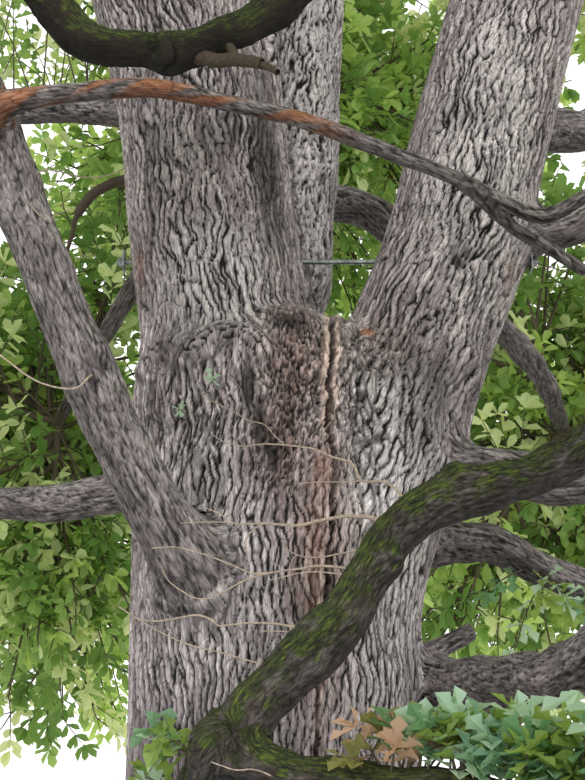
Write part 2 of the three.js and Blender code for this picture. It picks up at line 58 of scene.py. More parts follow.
# A repeatable number from 0 to 1 for a seed and an index
def share(seed, index):
    s = math.sin(seed * 127.1 + index * 311.7) * 43758.5453
    return s - math.floor(s)


def unit(v):
    return v / np.maximum(np.linalg.norm(v, axis=-1, keepdims=True), 1e-9)


def smoothstep(low, high, x):
    t = np.clip((x - low) / (high - low), 0, 1)
    return t * t * (3 - 2 * t)


# The crown as the source has it, in mm: tiers of leaf masses, and one low mass at the end of the mossy arm
crown = {
    "middle": (0, 300),
    "tiers": (  # name, count, distance out, height, radii, turn in degrees
        ("skirt", 8, 6400, 5600, (2900, 2900, 2450), 22.5),
        ("waist", 8, 6600, 9600, (2950, 2950, 2550), 0),
        ("shoulder", 6, 4700, 13300, (2850, 2850, 2500), 0),
        ("top", 3, 2300, 16300, (2500, 2500, 2400), 90),
    ),
    "low": (60, (1700, -2450, 1900), (1300, 1000, 650)),  # seed, centre, radii
    "jitter": 400,
    "entryShare": 0.6,  # how deep in a mass its bough ends
}


def leafMass(node, key, seed, centre, radii):
    centre, radii = np.array(centre) * mm, np.array(radii) * mm
    return {"node": node, "key": key, "seed": seed, "centre": centre, "radii": radii}


def crownMasses():
    masses = []
    middleX, middleY = crown["middle"]
    for tier, (name, count, out, height, radii, turn) in enumerate(crown["tiers"]):
        for i in range(count):
            seed = 10 * (tier + 1) + i
            angle = math.radians(turn + 360 / count * i)
            far = out + crown["jitter"] * (share(seed, 1) - 0.5)
            tall = height + crown["jitter"] * (share(seed, 2) - 0.5)
            centre = (middleX + far * math.cos(angle), middleY + far * math.sin(angle), tall)
            masses.append(leafMass(f"leaves_{name}_{i + 1}", (name, i), seed, centre, radii))
    masses.append(leafMass("leaves_low", "low", *crown["low"]))
    return masses


masses = crownMasses()
massByKey = {mass["key"]: mass for mass in masses}


# Where a bough that comes from start ends inside its mass
def entryOf(mass, start):
    away = start - mass["centre"]
    return mass["centre"] + away * crown["entryShare"] / np.linalg.norm(away / mass["radii"])


# A centripetal Catmull-Rom curve through the points
def smoothLine(points, perSpan=40):
    p = np.array(points, float)
    p = np.vstack([2 * p[0] - p[1], p, 2 * p[-1] - p[-2]])
    out = []
    t = np.linspace(0, 1, perSpan, endpoint=False)[:, None]
    for a, b, c, d in zip(p, p[1:], p[2:], p[3:]):
        da, db, dc = (max(((y - x) ** 2).sum(), 1e-9) ** 0.25 for x, y in ((a, b), (b, c), (c, d)))
        t1 = ((b - a) / da - (c - a) / (da + db) + (c - b) / db) * db
        t2 = ((c - b) / db - (d - b) / (db + dc) + (d - c) / dc) * db
        out.append(b + t1 * t + (3 * (c - b) - 2 * t1 - t2) * t ** 2 + (2 * (b - c) + t1 + t2) * t ** 3)
    return np.vstack(out + [p[-2:-1]])


# A limb's line, or another of its rows, at some lengths along it
def along(limb, arcs, key="line"):
    values = limb[key]
    if values.ndim == 1:
        return np.interp(arcs, limb["arcs"], values)
    return np.stack([np.interp(arcs, limb["arcs"], values[:, i]) for i in range(3)], -1)


# A limb swells by a collar where it leaves its parent, holds its girth for a while, then tapers
def makeLimb(name, points, radius, collar=0.38, sunk=0.0, hold=0.0, **facts):
    line = smoothLine(points)
    arcs = np.concatenate([[0], np.cumsum(np.linalg.norm(np.diff(line, axis=0), axis=1))])
    taper = np.clip((arcs / arcs[-1] - hold) / (1 - hold), 0, None)
    swelling = 1 + collar * np.exp(-np.clip(arcs - sunk, 0, None) / 0.26)
    tangents = unit(np.gradient(line, arcs, axis=0))
    normals = np.empty_like(line)
    normal = np.array([0, -1, 0.1])
    for i, tangent in enumerate(tangents):  # turned as little as it can be
        normal = unit(normal - normal.dot(tangent) * tangent)
        normals[i] = normal
    limb = {"name": name, "line": line, "arcs": arcs, "length": arcs[-1], "tangents": tangents,
            "normals": normals, "radii": (radius[0] + (radius[1] - radius[0]) * taper) * swelling, **facts}
    steps = np.linspace(0, arcs[-1], 41)  # a coarser chain, for distances
    limb["chainArcs"] = steps
    limb["chain"] = along(limb, steps)
    limb["chainRadii"] = along(limb, steps, "radii")
    return limb


# Limbs that the photo shows, in mm: radii at both ends, settings, the mass that it leads to, route
shownLimbs = {
    "left_stem": ((385, 120), dict(collar=0, hold=0.32), ("top", 1), (
        (-180, 0, 3000), (-250, 0, 3700), (-320, 0, 4440), (-400, 25, 5000), (-480, 60, 5700),
        (-640, 110, 6350), (-1050, 250, 8200), (-1450, 50, 11000))),
    "right_stem": ((335, 115), dict(collar=0, hold=0.3), ("top", 2), (
        (120, 0, 3000), (370, 0, 3720), (610, 0, 4440), (760, 50, 4830), (890, 100, 5370),
        (1140, 200, 6300), (1700, 150, 8200), (2050, -150, 11000))),
    "rear_stem": ((190, 95), dict(collar=0.2, hold=0.3), ("top", 0), (
        (-230, 100, 4350), (-20, 300, 4780), (10, 400, 5320), (70, 500, 6190), (100, 650, 7000),
        (100, 1500, 10500))),
    "left_bough": ((122, 62), {}, ("waist", 5), (
        (-200, -150, 2980), (-480, -600, 3280), (-720, -800, 3690), (-1010, -1000, 4340),
        (-1230, -1110, 4880), (-1900, -1700, 6500))),
    "rear_left_bough": ((95, 55), {}, ("skirt", 3), (
        (-250, 150, 3870), (-880, 500, 3800), (-1190, 700, 3810), (-1480, 900, 3870), (-3000, 1600, 4300))),
    "hanging_bough_inner": ((98, 86), dict(body="hanging", moss=1), None, (
        (1640, 150, 8000), (1300, -450, 7300), (620, -830, 6450), (120, -930, 5800), (-200, -990, 5440),
        (-520, -1000, 5310))),
    "hanging_bough_outer": ((86, 60), dict(collar=0, body="hanging", moss=1), ("skirt", 4), (
        (-520, -1000, 5310), (-860, -1000, 5360), (-1080, -1000, 5600), (-1500, -1080, 6150),
        (-2900, -1700, 6500))),
    "mossy_foot": ((125, 108), dict(body="mossy", moss=1), None, (
        (-230, -300, 2010), (-320, -700, 2120), (-300, -980, 2270), (-235, -1150, 2370))),
    "mossy_arm": ((97, 50), dict(collar=0.1, body="mossy", moss=1), ("waist", 7), (
        (-235, -1150, 2370), (-110, -1150, 2550), (80, -1150, 2730), (180, -1150, 2840),
        (320, -1120, 3070), (400, -1100, 3200), (500, -1090, 3280), (770, -1050, 3380),
        (1130, -1000, 3540), (2300, -1700, 5200))),
    "mossy_low_arm": ((86, 40), dict(collar=0.1, body="mossy", moss=1), "low", (
        (-235, -1150, 2370), (30, -1250, 2270), (290, -1400, 2220), (580, -1600, 2185))),
    "right_bough_upper": ((112, 58), {}, ("skirt", 7), (
        (380, 0, 3600), (610, -50, 3690), (910, -150, 3700), (1260, -300, 3630), (3200, -1200, 4300))),
    "right_bough_middle": ((90, 52), {}, ("skirt", 0), (
        (200, 100, 3380), (590, 300, 3490), (910, 400, 3530), (1180, 500, 3430), (1390, 550, 3360),
        (3200, 1500, 4000))),
    "right_bough_lower": ((122, 70), {}, ("skirt", 6), (
        (150, 200, 2900), (480, 300, 2850), (670, 0, 2790), (760, -300, 2740), (880, -600, 2710),
        (1050, -1200, 2670), (1500, -3000, 3300))),
    "sawn_stub": ((44, 39), dict(cap="sawn"), None, (
        (150, 300, 2860), (490, 400, 2960), (660, 450, 3040), (830, 500, 3130))),
    "right_rear_bough": ((124, 62), {}, ("waist", 1), (
        (930, 120, 5500), (1080, 500, 5710), (1310, 620, 5840), (1590, 800, 5940), (3000, 2200, 7600))),
    "right_side_bough": ((76, 56), {}, ("waist", 0), (
        (790, 60, 4900), (1150, 0, 4940), (1370, -100, 4950), (3000, -200, 6800))),
    "back_bough": ((100, 58), {}, ("skirt", 1), (
        (20, 400, 5420), (60, 750, 5500), (220, 850, 5530), (370, 900, 5520), (580, 1050, 5440),
        (1500, 2600, 5300))),
    "left_rear_bough": ((66, 50), {}, ("waist", 3), (
        (-500, 100, 5700), (-890, 400, 5820), (-1290, 600, 5950), (-1570, 700, 5990), (-2900, 2400, 7600))),
    "peeled_branch": ((42, 24), dict(collar=0.2, body="peeled", dead=1, cap="broken"), None, (
        (-1235, -1115, 4890), (-1180, -1290, 4885), (-870, -1300, 4940), (-560, -1300, 4960),
        (-170, -1300, 4870), (30, -1300, 4820), (270, -1300, 4720), (570, -1300, 4590),
        (790, -1300, 4480), (970, -1300, 4390), (1140, -1300, 4480), (1500, -1330, 4700))),
    "peeled_branch_fork": ((27, 23), dict(collar=0, body="peeled", dead=1, cap="broken"), None, (
        (680, -1300, 4530), (870, -1250, 4360), (980, -1220, 4310), (1130, -1200, 4210))),
}
# Boughs further up, each led to a mass: parent, height on it, radii, the mass
ledBoughs = {
    "back_left_bough": ("rear_stem", 5700, (88, 50), ("skirt", 2)),
    "front_left_bough": ("left_bough", 5300, (70, 45), ("skirt", 5)),
    "high_back_bough": ("rear_stem", 7200, (92, 50), ("waist", 2)),
    "high_left_bough": ("left_stem", 7400, (120, 55), ("waist", 4)),
    "high_front_bough": ("left_stem", 7900, (110, 52), ("waist", 6)),
    "shoulder_bough_1": ("right_stem", 9400, (105, 52), ("shoulder", 0)),
    "shoulder_bough_2": ("rear_stem", 9000, (85, 48), ("shoulder", 1)),
    "shoulder_bough_3": ("left_stem", 9700, (105, 52), ("shoulder", 2)),
    "shoulder_bough_4": ("left_stem", 10500, (95, 50), ("shoulder", 3)),
    "shoulder_bough_5": ("left_stem", 9100, (100, 50), ("shoulder", 4)),
    "shoulder_bough_6": ("right_stem", 10200, (100, 50), ("shoulder", 5)),
}


# A led bough leaves its parent rising outwards, then levels towards its mass
def ledRoute(start, end):
    span = end - start
    reach = np.linalg.norm(span)
    leave = unit(unit(span * (1, 1, 0)) * 0.75 + up * 0.65)
    early, late = start + leave * 0.3 * reach, end - span * 0.3 + up * 0.06 * reach
    t = np.linspace(0, 1, 5)[:, None]
    return start * (1 - t) ** 3 + early * 3 * t * (1 - t) ** 2 + late * 3 * t ** 2 * (1 - t) + end * t ** 3


# Length along a limb at which it first comes to a height
def arcAtHeight(limb, height):
    arcs = np.arange(0, 1.0001, 0.002) * limb["length"]
    return arcs[np.argmax(along(limb, arcs)[:, 2] >= height)]


def allLimbs():
    limbs = {}
    for name, (radii, facts, leadsTo, route) in shownLimbs.items():
        points = [np.array(p) * mm for p in route]
        if leadsTo:
            points.append(entryOf(massByKey[leadsTo], points[-1]))
        sunk = 0.6 * np.linalg.norm(points[1] - points[0])
        limbs[name] = makeLimb(name, points, np.array(radii) * mm, sunk=sunk, leadsTo=leadsTo, **facts)
    for name, (parentName, height, radii, leadsTo) in ledBoughs.items():
        parent = limbs[parentName]
        arc = np.array([arcAtHeight(parent, height * mm)])
        start = along(parent, arc)[0]
        sunk = along(parent, arc, "radii")[0]
        points = ledRoute(start, entryOf(massByKey[leadsTo], start))
        limbs[name] = makeLimb(name, points, np.array(radii) * mm, sunk=sunk, leadsTo=leadsTo)
    return limbs


limbs = allLimbs()
print("limbs:", len(limbs))


# The trunk in metres: a column that flares into root ridges at the ground and is domed under the fork
column = {
    "halfWidth": 0.612, "depthShare": 0.92, "lean": -0.088, "breast": 1.3, "top": 4.05, "cap": 0.45,
    "flareHeight": 0.52, "flareShare": 0.42, "ridges": 7, "ridgeShare": 0.13, "ridgeTurn": 0.6,
    "domeFrom": 3.9,
}
blend = {"between": 0.06, "within": 0.012}  # how softly bodies, and the limbs of one body, run together


def columnMiddle(z):
    return column["lean"] * np.clip(z / column["breast"], None, 1)


def placeOnColumn(points):
    dx = points[:, 0] - columnMiddle(points[:, 2])
    dy = points[:, 1] / column["depthShare"]
    angle = np.arctan2(dy, dx)
    flare = np.exp(-points[:, 2] / column["flareHeight"])
    ridge = column["ridgeShare"] * flare * np.cos(column["ridges"] * angle + column["ridgeTurn"])
    over = np.clip((points[:, 2] - column["top"]) / column["cap"], 0, None)
    rounded = np.sqrt(np.clip(1 - over ** 2, 0, None))
    radius = column["halfWidth"] * (1 + column["flareShare"] * flare) * (1 + ridge) * rounded
    return np.hypot(dx, dy) - radius, points[:, 2], np.arctan2(dx, -dy)


# How far points lie outside a limb, and their place along and round it; None is the trunk
def placeOn(limb, points):
    if limb is None:
        return placeOnColumn(points)
    best = np.full(len(points), 99.0)
    arc = np.zeros(len(points))
    spots, radii, arcs = limb["chain"], limb["chainRadii"], limb["chainArcs"]
    for k in range(len(spots) - 1):
        span = spots[k + 1] - spots[k]
        away = points - spots[k]
        t = np.clip(away @ span / span.dot(span), 0, 1)
        gap = np.linalg.norm(away - t[:, None] * span, axis=1) - (radii[k] + (radii[k + 1] - radii[k]) * t)
        closer = gap < best
        best = np.where(closer, gap, best)
        arc = np.where(closer, arcs[k] + (arcs[k + 1] - arcs[k]) * t, arc)
    tangent, normal = along(limb, arc, "tangents"), along(limb, arc, "normals")
    away = points - along(limb, arc)
    return best, arc, np.arctan2((away * np.cross(tangent, normal)).sum(1), (away * normal).sum(1))


def gapTo(limb, points):
    return placeOn(limb, points)[0]


def bodyOf(limb):
    return "trunk" if limb is None else limb.get("body", limb["name"])


# The limbs that come near a limb
def neighboursOf(limb):
    near = []
    if limb is None:
        own = np.array([[columnMiddle(z), 0, z] for z in np.linspace(0, 4.3, 12)])
        width = 1.1
    else:
        own = limb["chain"]
        width = limb["chainRadii"].max()
        if own[:, 2].min() < 4.9 and np.abs(own[:, 0]).min() < 1.2:
            near.append(None)
    for other in limbs.values():
        if other is limb:
            continue
        apart = np.linalg.norm(own[:, None] - other["chain"][None], axis=2).min()
        if apart < width + other["chainRadii"].max() + 0.25:
            near.append(other)
    return near


def softLeast(gaps, softness):
    low = np.min(gaps, axis=0)
    return low - softness * np.log(sum(np.exp((low - gap) / softness) for gap in gaps))


# How far points lie outside the skin that limbs share
def skinGap(group, points):
    bodies = {}
    for limb in group:
        bodies.setdefault(bodyOf(limb), []).append(gapTo(limb, points))
    return softLeast([softLeast(gaps, blend["within"]) for gaps in bodies.values()], blend["between"])


# Ridge spacing across and along, furrow depth and half width, in metres, and the least relief
barkKinds = {
    "stem": {"across": 0.036, "along": 0.30, "depth": 0.019, "furrow": 0.0075, "seed": 3, "least": 0.0},
    "bough": {"across": 0.027, "along": 0.19, "depth": 0.007, "furrow": 0.0055, "seed": 11, "least": 0.2},
    "mossy": {"across": 0.030, "along": 0.09, "depth": 0.008, "furrow": 0.009, "seed": 19, "least": 0.1},
    "dead": {"across": 0.016, "along": 0.2, "depth": 0.0022, "furrow": 0.005, "seed": 27, "least": 0.2},
}


# A repeatable number from 0 to 1 for arrays of two indices
def hashed(a, b, seed):
    s = np.sin(a * 127.1 + b * 311.7 + seed * 74.7) * 43758.5453
    return s - np.floor(s)


# Distance in metres to the border of the nearest seeded cell, how far that border runs lengthwise, and
# the cell's own number; u and v are in cells of that size, and u repeats after count cells
def cells(u, v, count, seed, size, jitter=0.85):
    near = np.full(u.shape, 99.0)
    second = near.copy()
    tone = np.zeros(u.shape)
    nearU, nearV, secondU, secondV = (np.zeros(u.shape) for _ in range(4))
    iu, iv = np.floor(u), np.floor(v)
    for du in (-1, 0, 1):
        for dv in (-1, 0, 1, 2):
            cu, cv = iu + du, iv + dv
            wrapped = np.mod(cu, count)
            stagger = 0.5 * np.mod(wrapped, 2)
            a, b = hashed(wrapped, cv, seed), hashed(cv, wrapped, seed + 5)
            offU, offV = cu + 0.5 + jitter * (a - 0.5) - u, cv - stagger + 0.5 + jitter * (b - 0.5) - v
            apart = offU ** 2 + offV ** 2
            closer = apart < near
            middling = ~closer & (apart < second)
            second = np.where(closer, near, np.where(middling, apart, second))
            secondU = np.where(closer, nearU, np.where(middling, offU, secondU))
            secondV = np.where(closer, nearV, np.where(middling, offV, secondV))
            tone = np.where(closer, hashed(a, b, seed + 9), tone)
            near = np.where(closer, apart, near)
            nearU = np.where(closer, offU, nearU)
            nearV = np.where(closer, offV, nearV)
    acrossPull, alongPull = (nearU - secondU) / size[0], (nearV - secondV) / size[1]
    pull = np.hypot(acrossPull, alongPull) + 1e-9
    return (second - near) / 2 / pull, np.abs(acrossPull) / pull, tone


def girthOf(limb):
    radius = column["halfWidth"] if limb is None else limb["chainRadii"][len(limb["chainRadii"]) // 4]
    return 2 * math.pi * radius


def barkKindOf(limb):
    if limb is None or limb["name"].endswith("_stem"):
        return "stem"
    if limb.get("moss"):
        return "mossy"
    return "dead" if limb.get("dead") else "bough"


# Height of the bark, 0 on a ridge, and two shares: how high on a ridge (painted dark low down, partly as
# painted shade in the furrows), and the ridge's own tone
def barkRelief(limb, arc, angle):
    kindName = barkKindOf(limb)
    kind = barkKinds[kindName]
    seed = kind["seed"] + (0 if limb is None else len(limb["name"]) * 3 + ord(limb["name"][0]))
    count = 2 * max(3, round(girthOf(limb) / kind["across"] / 2))
    wave = 0.40 * np.sin(9.0 * arc + 3 * angle + seed) + 0.34 * np.sin(17.0 * arc - 5 * angle + 2 * seed)
    wave += 0.17 * np.sin(37.0 * arc + 11 * angle + 3 * seed) + 0.07 * np.sin(83.0 * arc - 19 * angle + seed)
    u = count * (angle / (2 * math.pi) + 0.5) + wave
    v = arc / kind["along"] + 0.5 * np.sin(4 * angle + seed) + 0.3 * np.sin(9 * angle + 5 * arc)
    border, lengthwise, tone = cells(u, v, count, seed, (kind["across"], kind["along"]))
    width = kind["furrow"] * (0.85 + 0.35 * np.sin(5.1 * arc + 4 * angle + seed) + 0.3 * (tone - 0.5))
    plate = smoothstep(0.0, 1.0, border / width)
    cut = (1 - plate) * (0.35 + 0.65 * lengthwise ** 2)
    short = kind["along"] / 4.7  # cracks that cross the ridges
    crossBorder, _, crossTone = cells(u + 7, v * 4.7, count, seed + 2, (kind["across"], short))
    cross = 1 - smoothstep(0.0, 1.0, crossBorder / (0.6 * kind["furrow"]))
    depth = kind["depth"] * (0.8 + 0.25 * np.sin(2.3 * arc + 2 * angle + seed))
    ridgeTop = np.clip(border / (0.45 * kind["across"]), 0, 1)
    height = depth * (0.3 * (ridgeTop - 1) + 0.16 * (tone - 0.5) - 0.85 * cut - 0.17 * cross * plate)
    # low in furrows and cross cracks, highest mid-ridge: the finish paints it dark low down, partly as
    # painted shade
    relief = np.clip(1 - cut - 0.36 * cross * plate, 0, 1) * (0.72 + 0.28 * ridgeTop)
    relief = kind["least"] + (1 - kind["least"]) * relief
    if kindName != "stem":  # boughs swell and shrink
        radius = girthOf(limb) / (2 * math.pi)
        swell = np.sin(7.3 * arc + seed) + 0.8 * np.sin(15.1 * arc + 1.7 * np.sin(angle + seed))
        swell += 0.7 * np.sin(24 * arc + 2 * angle) * np.sin(9 * arc - angle + seed)
        height = height + (0.09 if kindName == "mossy" else 0.05) * radius * swell
    return height, relief, tone * 0.5 + crossTone * 0.5


# Places on the side with the split, as ovals (x, z, half width, half height, strength)
frontMarks = {
    "rubble": ((0.05, 3.95, 0.24, 0.42, 1.0), (-0.06, 3.72, 0.14, 0.3, 0.9), (0.33, 4.22, 0.2, 0.17, 0.8),
               (-0.02, 4.3, 0.14, 0.14, 0.9), (0.2, 4.38, 0.16, 0.09, 0.8)),
    # dark ovals: wet stains on the bark, and painted shade on the low trunk, in the knot hole and in the
    # small hole
    "stainAndShade": ((-0.1, 5.3, 0.1, 0.55, 0.8), (-0.19, 3.96, 0.03, 0.13, 0.95), (0.56, 3.98, 0.13, 0.3, 0.55),
              (-0.1, 2.6, 0.8, 0.75, 0.22), (-0.14, 3.8, 0.035, 0.13, 0.95), (-0.08, 3.67, 0.035, 0.1, 0.9),
              (-0.55, 5.2, 0.35, 1.2, 0.2), (-0.01, 4.29, 0.09, 0.05, 0.9), (-0.3, 2.35, 0.5, 0.35, 0.6),
              (0.0, 2.2, 0.9, 0.5, 0.3), (0.37, 3.78, 0.025, 0.03, 0.9), (-0.62, 5.4, 0.09, 0.6, 0.35),
              (0.76, 4.66, 0.03, 0.035, 1.0)),
    # pale ovals: partly paler bark, partly painted light where light falls on the trunk and the right stem
    "pale": ((-0.36, 4.55, 0.26, 0.3, 0.6), (0.42, 3.6, 0.24, 0.55, 0.85), (0.4, 3.0, 0.24, 0.5, 0.65),
             (0.95, 5.3, 0.4, 1.1, 0.45), (0.2, 4.0, 0.16, 0.42, 0.9), (-0.35, 3.2, 0.3, 0.7, 0.3),
             (-0.4, 3.55, 0.2, 0.3, 0.4), (0.41, 4.18, 0.08, 0.05, 0.8), (1.0, 5.6, 0.2, 0.5, 0.3)),
    "ruddy": ((0.08, 4.1, 0.2, 0.3, 0.8), (-0.04, 3.75, 0.1, 0.25, 0.8), (0.12, 3.3, 0.16, 0.7, 0.6),
              (0.09, 5.2, 0.08, 0.5, 0.5)),
    "rust": ((-0.74, 4.66, 0.05, 0.14, 0.6), (1.02, 4.62, 0.04, 0.12, 0.4), (0.33, 4.3, 0.03, 0.025, 0.9),
             (0.13, 3.6, 0.04, 0.1, 0.3), (0.15, 3.95, 0.02, 0.3, 0.3), (0.1, 3.1, 0.05, 0.4, 0.16)),
}
# Rubble-like bark above the split: lumps and finer crumbs, width and height, and how far they stand out. The
# grooves between lumps and the crumbs' borders are painted dark, as painted shade in them
rubbleLook = {"lump": (0.034, 0.05), "crumb": (0.017, 0.024), "groove": 0.022, "uneven": 0.04, "fine": 0.01}
# Two old branch scars with bark that runs in arcs over them: x, z, half width, half height
scars = ((-0.56, 4.13, 0.11, 0.12), (-0.3, 4.1, 0.17, 0.15))
scarBark = (0.03, 0.09)  # its ridges' spacing across and along
# Rims: x, z, half width, half height, height, which half there is of it (0 for a whole one, round a hollow)
rims = (
    (0.76, 4.66, 0.075, 0.09, 0.022, 0),  # a knot hole on the right stem
    (-0.42, 3.12, 0.16, 0.1, 0.012, -1),  # a bulge under the left bough
    (0.37, 3.78, 0.04, 0.045, 0.008, 0),  # a small hole
    (0.72, 3.98, 0.14, 0.3, 0.02, 0),  # a low boss on the trunk
)
crack = {  # the split in the front of the trunk, from the fork down
    "way": ((0.18, 4.36), (0.18, 4.23), (0.17, 4.05), (0.15, 3.82), (0.18, 3.66), (0.175, 3.51), (0.15, 3.2),
            (0.125, 2.87), (0.10, 2.56), (0.09, 2.3)),
    "half": 0.011, "depth": 0.05, "lipHeight": 0.004,
}


def ovals(name, x, z):
    total = np.zeros(x.shape)
    for cx, cz, rx, rz, strength in frontMarks[name]:
        total = np.maximum(total, strength * np.exp(-(((x - cx) / rx) ** 2 + ((z - cz) / rz) ** 2) ** 2))
    return total


# Knobs where a shoot or a branch was lost: limb, place, half width, height, depth of the hollow
knobs = {
    "mossy_arm": (((0.36, -1.19, 3.04), 0.05, 0.06, 0.05), ((0.08, -1.2, 2.66), 0.06, 0.03, 0.0),
                  ((0.62, -1.1, 3.4), 0.05, 0.03, 0.0), ((0.2, -1.22, 2.8), 0.04, 0.025, 0.02)),
    "hanging_bough_inner": (((-0.2, -1.03, 5.36), 0.05, 0.03, 0.0), ((0.15, -0.98, 5.7), 0.06, 0.03, 0.0)),
    "hanging_bough_outer": (((-0.85, -1.06, 5.31), 0.05, 0.035, 0.02),),
    "left_bough": (((-0.72, -0.9, 3.75), 0.05, 0.025, 0.02), ((-1.0, -1.1, 4.4), 0.06, 0.02, 0.01)),
}


def rubbleRelief(x, z, rubble, height, relief):
    warpX = 0.9 * np.sin(z * 31 + 2 * np.sin(x * 40))
    warpZ = 0.9 * np.sin(x * 37 + 2 * np.sin(z * 33))
    wide, tall = rubbleLook["lump"]
    border, _, tone = cells(x / wide + warpX, z / tall + warpZ, 4096, 41, (wide, tall), 0.98)
    wide, tall = rubbleLook["crumb"]
    fineBorder, _, fineTone = cells(x / wide + 2 * warpX, z / tall + 2 * warpZ, 4096, 43, (wide, tall), 0.98)
    lump = smoothstep(0.0, 0.009, border)
    lumpHeight = rubbleLook["groove"] * (lump - 1) + rubbleLook["uneven"] * (tone - 0.5)
    lumpHeight += rubbleLook["fine"] * (fineTone - 0.5)
    # low shares in the grooves and at the crumbs' borders: painted dark, as painted shade in them
    crumbs = 0.6 + 0.4 * smoothstep(0.0, 0.005, fineBorder)
    lumpRelief = (0.05 + 0.95 * lump) * (0.5 + 0.6 * tone) * crumbs
    bark = 1 - 0.75 * rubble
    return height * bark + lumpHeight * rubble, relief * bark + lumpRelief * 0.95 * rubble


def scarRelief(x, z, front, height, relief):
    spacing, length = scarBark
    for cx, cz, rx, rz in scars:
        away = np.hypot((x - cx) / rx, (z - cz) / rz)
        turn = np.arctan2((z - cz) / rz, (x - cx) / rx)
        u = away * rx / spacing + 0.2 * np.sin(7 * turn)
        border, _, tone = cells(u, turn * rx / length, 4096, 47, (spacing, length))
        arcs = np.exp(-((away - 1) / 0.42) ** 4) * smoothstep(-0.35, 0.15, (z - cz) / rz) * front
        plate = smoothstep(0.0, 0.007, border)
        arcHeight = 0.014 * (plate - 1) + 0.03 * np.exp(-((away - 1) / 0.3) ** 2)
        height = height * (1 - arcs) + arcHeight * arcs - 0.02 * np.exp(-(away / 0.55) ** 2) * front
        # low shares in the gaps between the arcs' plates: painted dark, as painted shade in them
        relief = relief * (1 - arcs) + plate * (0.75 + 0.25 * tone) * arcs
    return height, relief


# Three shares for the split: how deep in it a place is, how much on a torn strip, and how near it
def splitShares(x, z, front):
    wayX, wayZ = np.array(crack["way"]).T
    away = x - np.interp(z, wayZ[::-1], wayX[::-1]) - 0.004 * np.sin(z * 23) - 0.002 * np.sin(z * 61)
    ends = smoothstep(2.15, 2.5, z) * (1 - smoothstep(4.34, 4.42, z)) * front
    uneven = 1 + 0.35 * np.sin(z * 11) * np.sin(z * 29)
    width = crack["half"] * (0.6 + 0.4 * smoothstep(2.4, 3.9, z)) * uneven
    groove = np.exp(-(away / width) ** 4) * ends
    frayed = 0.003 * np.sin(z * 61) + 0.002 * np.sin(z * 137)
    torn = 0.78 + 0.22 * np.sin(z * 19 + 1) * np.sin(z * 47 + x * 90)
    left = np.exp(-((away + 0.024 + frayed) / 0.014) ** 4)
    broken = 0.6 * smoothstep(0.3, 0.9, np.sin(z * 6.3 + 1.2))
    left *= 0.15 + 0.85 * np.maximum(smoothstep(3.7, 3.9, z), broken)
    right = np.exp(-((away - 0.022 - frayed) / 0.009) ** 4) * smoothstep(3.8, 4.05, z)
    strip = np.maximum(left, right) * ends * (0.2 + 0.8 * smoothstep(2.7, 3.5, z)) * torn
    beside = np.exp(-(away / (3.5 * width)) ** 2) * ends
    return groove, strip, beside


# What stands out of or into the bark on the front of the trunk and the two big stems
def frontRelief(points, height, relief):
    x, z = points[:, 0], points[:, 2]
    front = smoothstep(0.05, 0.2, -points[:, 1])
    rubble = ovals("rubble", x, z) * front
    height, relief = rubbleRelief(x, z, rubble, height, relief)
    height, relief = scarRelief(x, z, front, height, relief)
    groove, strip, beside = splitShares(x, z, front)
    height = height * (1 - 0.45 * np.maximum(groove, strip))
    height += crack["lipHeight"] * strip - crack["depth"] * groove
    for cx, cz, rx, rz, tall, half in rims:
        away = np.hypot((x - cx) / rx, (z - cz) / rz)
        side = smoothstep(-0.4, 0.3, half * (z - cz) / rz) if half else 1
        height += tall * np.exp(-((away - 1) / 0.22) ** 2) * side * front
        if not half:
            height -= 1.6 * tall * np.exp(-(away / 0.5) ** 2) * front
    marks = {name: ovals(name, x, z) * front for name in ("stainAndShade", "pale", "ruddy", "rust")}
    # the split's groove is painted dark, as painted shade in it
    marks["stainAndShade"] = np.maximum(marks["stainAndShade"], 0.75 * groove)
    marks["ruddy"] = np.maximum.reduce([marks["ruddy"], 0.5 * rubble, 0.9 * beside])
    return height, relief, np.clip(strip, 0, 1), marks


# Cell widths of the bark's mesh in metres, how much taller cells grow away from the box that the photo
# shows, and a cell's height over its width
grain = {"fine": 0.0072, "bough": 0.009, "far": 0.05, "tall": 1.75}
shownBox = {"low": np.array([-1.75, -1.75, 0.9]), "high": np.array([1.95, 1.6, 6.9])}


def rowsOf(limb, fine):
    arcs = [0.0]
    while arcs[-1] < limb["length"]:
        spot = along(limb, np.array([arcs[-1]]))[0]
        out = np.maximum(shownBox["low"] - spot, spot - shownBox["high"]).max()
        arcs.append(arcs[-1] + fine * grain["tall"] + np.clip(out, 0, 1) * grain["far"])
    return np.minimum(np.array(arcs), limb["length"])


# The trunk's net of rays: finer on the side that the photo shows, and domed at the top
def columnRays(fine):
    width = fine / column["halfWidth"]
    tall = fine * grain["tall"]
    steps = [-math.pi]
    while steps[-1] < math.pi:
        steps.append(steps[-1] + width * (1 if abs(steps[-1]) < 1.75 else 1.8))
    angles = np.minimum(np.array(steps), math.pi)
    low = np.arange(0, 1.1, tall * 1.8)
    levels = np.concatenate([low, np.arange(low[-1] + tall, column["domeFrom"], tall)])
    lifts = np.arange(0, math.pi / 2, tall / column["halfWidth"])
    z = np.concatenate([levels, np.full(len(lifts), column["domeFrom"])])
    lift = np.concatenate([np.zeros(len(levels)), lifts])
    middle = columnMiddle(z) + 0.23 * np.clip((z - 3.3) / 1.08, 0, None)  # drawn towards the fork
    origins = np.stack([middle, np.zeros(len(z)), z], -1)[:, None] + np.zeros((1, len(angles), 1))
    flat = np.stack([np.sin(angles), -np.cos(angles), np.zeros(len(angles))], -1)[None]
    rays = flat * np.cos(lift)[:, None, None] + up * np.sin(lift)[:, None, None]
    return origins, rays, np.full(rays.shape[:2], 0.3), z, angles


